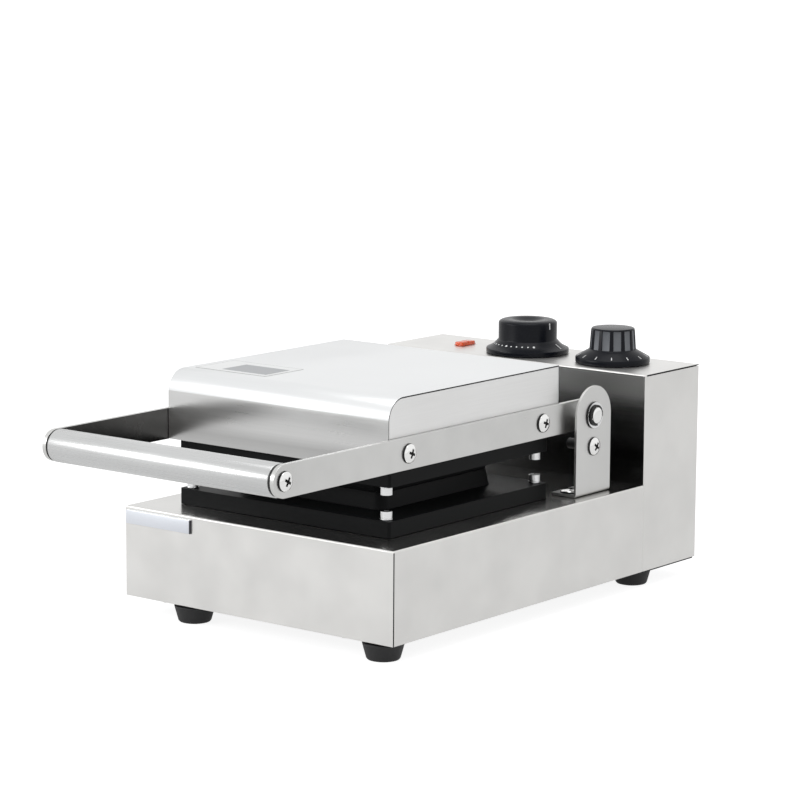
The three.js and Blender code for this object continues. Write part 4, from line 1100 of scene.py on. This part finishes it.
# %% Thermostat marks
zero_azimuth = -57.5
tick_spacing = 27.75
tick_width = 0.7
tick_end = (27.4, 5.05)
long_start, short_start = (21.0, 8.35), (24.2, 6.7)
ticks = []
for k in range(-5, 6):
    start = long_start if k % 2 == 0 and k != 0 else short_start
    tick_azimuth = zero_azimuth + tick_spacing * k
    ticks.append(tick_on_cone(f"tick_{k}", thermostat_base, tick_azimuth, start, tick_end, tick_width))
cross_bar = tick_on_cone("tick_bar", thermostat_base, zero_azimuth, (22.6, 7.5), (23.4, 7.1), 2.0)
thermostat_print = merged(ticks + [cross_bar])
thermostat_print.name = "thermostat_marks"
settle(soften(thermostat_print, 0.08, segments=1), "thermostat_knob", "mark_paint", replaces=False)
print(len(ticks), "ticks on the thermostat")

# %% [markdown]
# ## Pilot lamp
#
# A red lens in a rectangular cut-out. It is a block with a bevelled rim and a shallow groove across
# its middle, and it sits on a thin flange.

# %% Lamp
lens_rise = 2.7
lens_inset = 0.6
flange_height = 0.7
stem_inset = 2
lamp_low, lamp_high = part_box("pilot_lamp")
lamp_size = (lamp_high - lamp_low) / mm
stem_height = lamp_size.z - lens_rise
lens_size = (lamp_size.x - lens_inset, lamp_size.y - lens_inset, lens_rise)
lens = block("pilot_lamp_dressed", lens_size, (0, 0, -lens_rise / 2))
soften(lens, 0.8, segments=4, smooth=60)
carve(lens, block("lens_groove", (lamp_size.x, 1.6, 2), (0, 0, 0.3)))
flange_middle = flange_height / 2 - lens_rise
flange = block("lamp_flange", (lamp_size.x, lamp_size.y, flange_height), (0, 0, flange_middle))
soften(flange, 0.2, smooth=40)
stem_size = (lamp_size.x - stem_inset, lamp_size.y - stem_inset, stem_height)
stem = block("lamp_stem", stem_size, (0, 0, -lens_rise - stem_height / 2))
lamp = merged([lens, flange, stem])
put(lamp, seat_of("pilot_lamp", z_axis, 1))
settle(lamp, "pilot_lamp", "lamp_lens")
print(lamp.name, len(lamp.data.polygons), "faces")

# %% [markdown]
# ## Feet and small screws
#
# The feet are turned rubber cones with a rounded foot and a screw deep in their bore. One small
# round-headed screw is modelled and copied for the feet, the floor plate and the rear wall.

# %% Feet
foot_profile = [
    (4, 0), (10.0, 0), (11.2, 0.35), (12.0, 1.2), (12.4, 2.4), (15, 11.9), (14.8, 12.2), (0, 12.2),
    (0, 6), (4, 6), (4, 0),
]
foot_bore = Vector((0, 0, 6 * mm))
small_profile = [
    (0, -1.0), (1.5, -1.0), (1.5, 0), (3.6, 0), (3.6, 0.5), (3.2, 1.2), (2.2, 1.8), (1.0, 2.0), (0, 2.0),
]
small_recess = {"reach": 1.9, "width": 0.95, "top": 2.4, "depth": 1.6}
foot_model = turned("foot_model", foot_profile, 72)
soften(foot_model, 0.1, segments=1, angle=50, smooth=40)
small_screw = turned("small_screw_model", small_profile, 32)
cut_recess(small_screw, **small_recess)
soften(small_screw, 0.06, segments=1, angle=45)


def add_small_screw(name, node, place, direction, spin=0.0):
    """A copy of the small screw on a solid, its head pointing along a direction."""
    screw = twin(small_screw, name)
    put(screw, place, direction, spin)
    settle(screw, node, "bright_steel", replaces=False)


for end in ("front", "rear"):
    for side in ("left", "right"):
        name = f"foot_{end}_{side}"
        foot_base = seat_of(name, z_axis, -1)
        foot = twin(foot_model, f"{name}_dressed")
        put(foot, foot_base)
        settle(foot, name, "rubber")
        add_small_screw(f"{name}_screw", name, foot_base + foot_bore, (0, 0, -1))
bpy.data.objects.remove(foot_model)
print(len(named("foot_")), "feet")

# %% [markdown]
# The floor plate's screws just show under the front edge. The right front one stands nearer to the
# middle, clear of the foot.

# %% Floor screws and rear screws
floor_low, floor_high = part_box("base_floor")
front_y = floor_low.y + 6 * mm
rear_y = floor_high.y - 14 * mm
floor_screws = ((-95, front_y), (74, front_y), (-95, rear_y), (95, rear_y))
for index, (x, y) in enumerate(floor_screws):
    place = (x * mm, y, floor_low.z)
    add_small_screw(f"floor_screw_{index}", "base_floor", place, (0, 0, -1), 0.5 * index)
rear_low, rear_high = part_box("control_box_cover")
rear_screws = ((-112, 14), (112, 14), (-112, 138), (112, 138))
for index, (x, z) in enumerate(rear_screws):
    place = (x * mm, rear_high.y, rear_low.z + z * mm)
    add_small_screw(f"rear_screw_{index}", "control_box_cover", place, (0, 1, 0), 0.9 * index)
bpy.data.objects.remove(small_screw)
print(len(floor_screws), "floor screws and", len(rear_screws), "rear screws")

# %% [markdown]
# ## Plain plate and plain label
#
# The base's front has a small plate at its upper left and the lid a film label. The plate is satin
# metal with a dark edge, and the label has a fine dark line and a pale border around a grey field.

# %% Plate
plate_size = (62.2, 1.2, 10)
edge_size = (0.9, 1.5, 10)
plate_x = -92.6
edge_x = -61.2
plate_gap = 3
base_low, base_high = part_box("base_shell")
plate_z = base_high.z - (plate_gap + plate_size[2] / 2) * mm
plate = block("front_plate", plate_size, (0, -plate_size[1] / 2, 0))
soften(plate, 0.3)
put(plate, (plate_x * mm, base_low.y, plate_z))
settle(plate, "base_shell", "plate_silver", replaces=False)
plate_edge = block("front_plate_edge", edge_size, (0, -edge_size[1] / 2, 0))
soften(plate_edge, 0.25)
put(plate_edge, (edge_x * mm, base_low.y, plate_z))
settle(plate_edge, "base_shell", "plate_edge", replaces=False)
print("plate", plate_size[0], "mm long")

# %% Label
label_size = (66, 42, 0.14)
rim_size = (67, 43.2, 0.1)
field_size = (42, 27, 0.08)
lid_low, lid_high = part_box("lid_cover")
label_place = Vector((-61.5 * mm, lid_low.y + 43 * mm, lid_high.z + label_size[2] / 2 * mm))
label_rim = block("lid_label_rim", rim_size)
put(label_rim, label_place + Vector((0, 0, -0.02 * mm)))
settle(label_rim, "lid_cover", "label_line", replaces=False)
label = block("lid_label", label_size)
soften(label, 0.05, segments=1)
put(label, label_place)
settle(label, "lid_cover", "label_film", replaces=False)
field = block("lid_label_field", field_size)
put(field, label_place + Vector((8 * mm, -2 * mm, 0.1 * mm)))
settle(field, "lid_cover", "label_grey", replaces=False)
print("label", label_size[0], "by", label_size[1], "mm")

# %% [markdown]
# ## Cable glands
#
# The glands sit where the mains cord and the lid's lead pass through the sheet. Each has a ribbed
# clamping nut on a round flange. The nut is spun, and eight blocks cut the grooves between its ribs.

# %% Glands
gland_nose = 13
rib_count = 8
gland_profile = [
    (4, -8), (6.5, -8), (6.5, 0), (10.8, 0), (11, 0.2), (11, 2.6), (10.6, 3), (8.5, 3), (8.5, 10.8),
    (6.9, 12.8), (6.3, gland_nose), (4.4, gland_nose), (4, 12.6), (4, -8),
]
gland_model = turned("gland_model", gland_profile, 64)
for k in range(rib_count):
    groove = block("groove", (1.2, 2.6, 7.0), (8.9, 0, 7.4))
    groove.data.transform(Matrix.Rotation(k * 2 * math.pi / rib_count, 4, "Z"))
    carve(gland_model, groove)
soften(gland_model, 0.15, angle=35)
for node_name, way in (("mains_gland", 1), ("control_lead_gland", -1), ("lid_lead_gland", 1)):
    gland = twin(gland_model, f"{node_name}_dressed")
    put(gland, seat_of(node_name, y_axis, way, gland_nose), (0, way, 0))
    settle(gland, node_name, "gland_plastic")
bpy.data.objects.remove(gland_model)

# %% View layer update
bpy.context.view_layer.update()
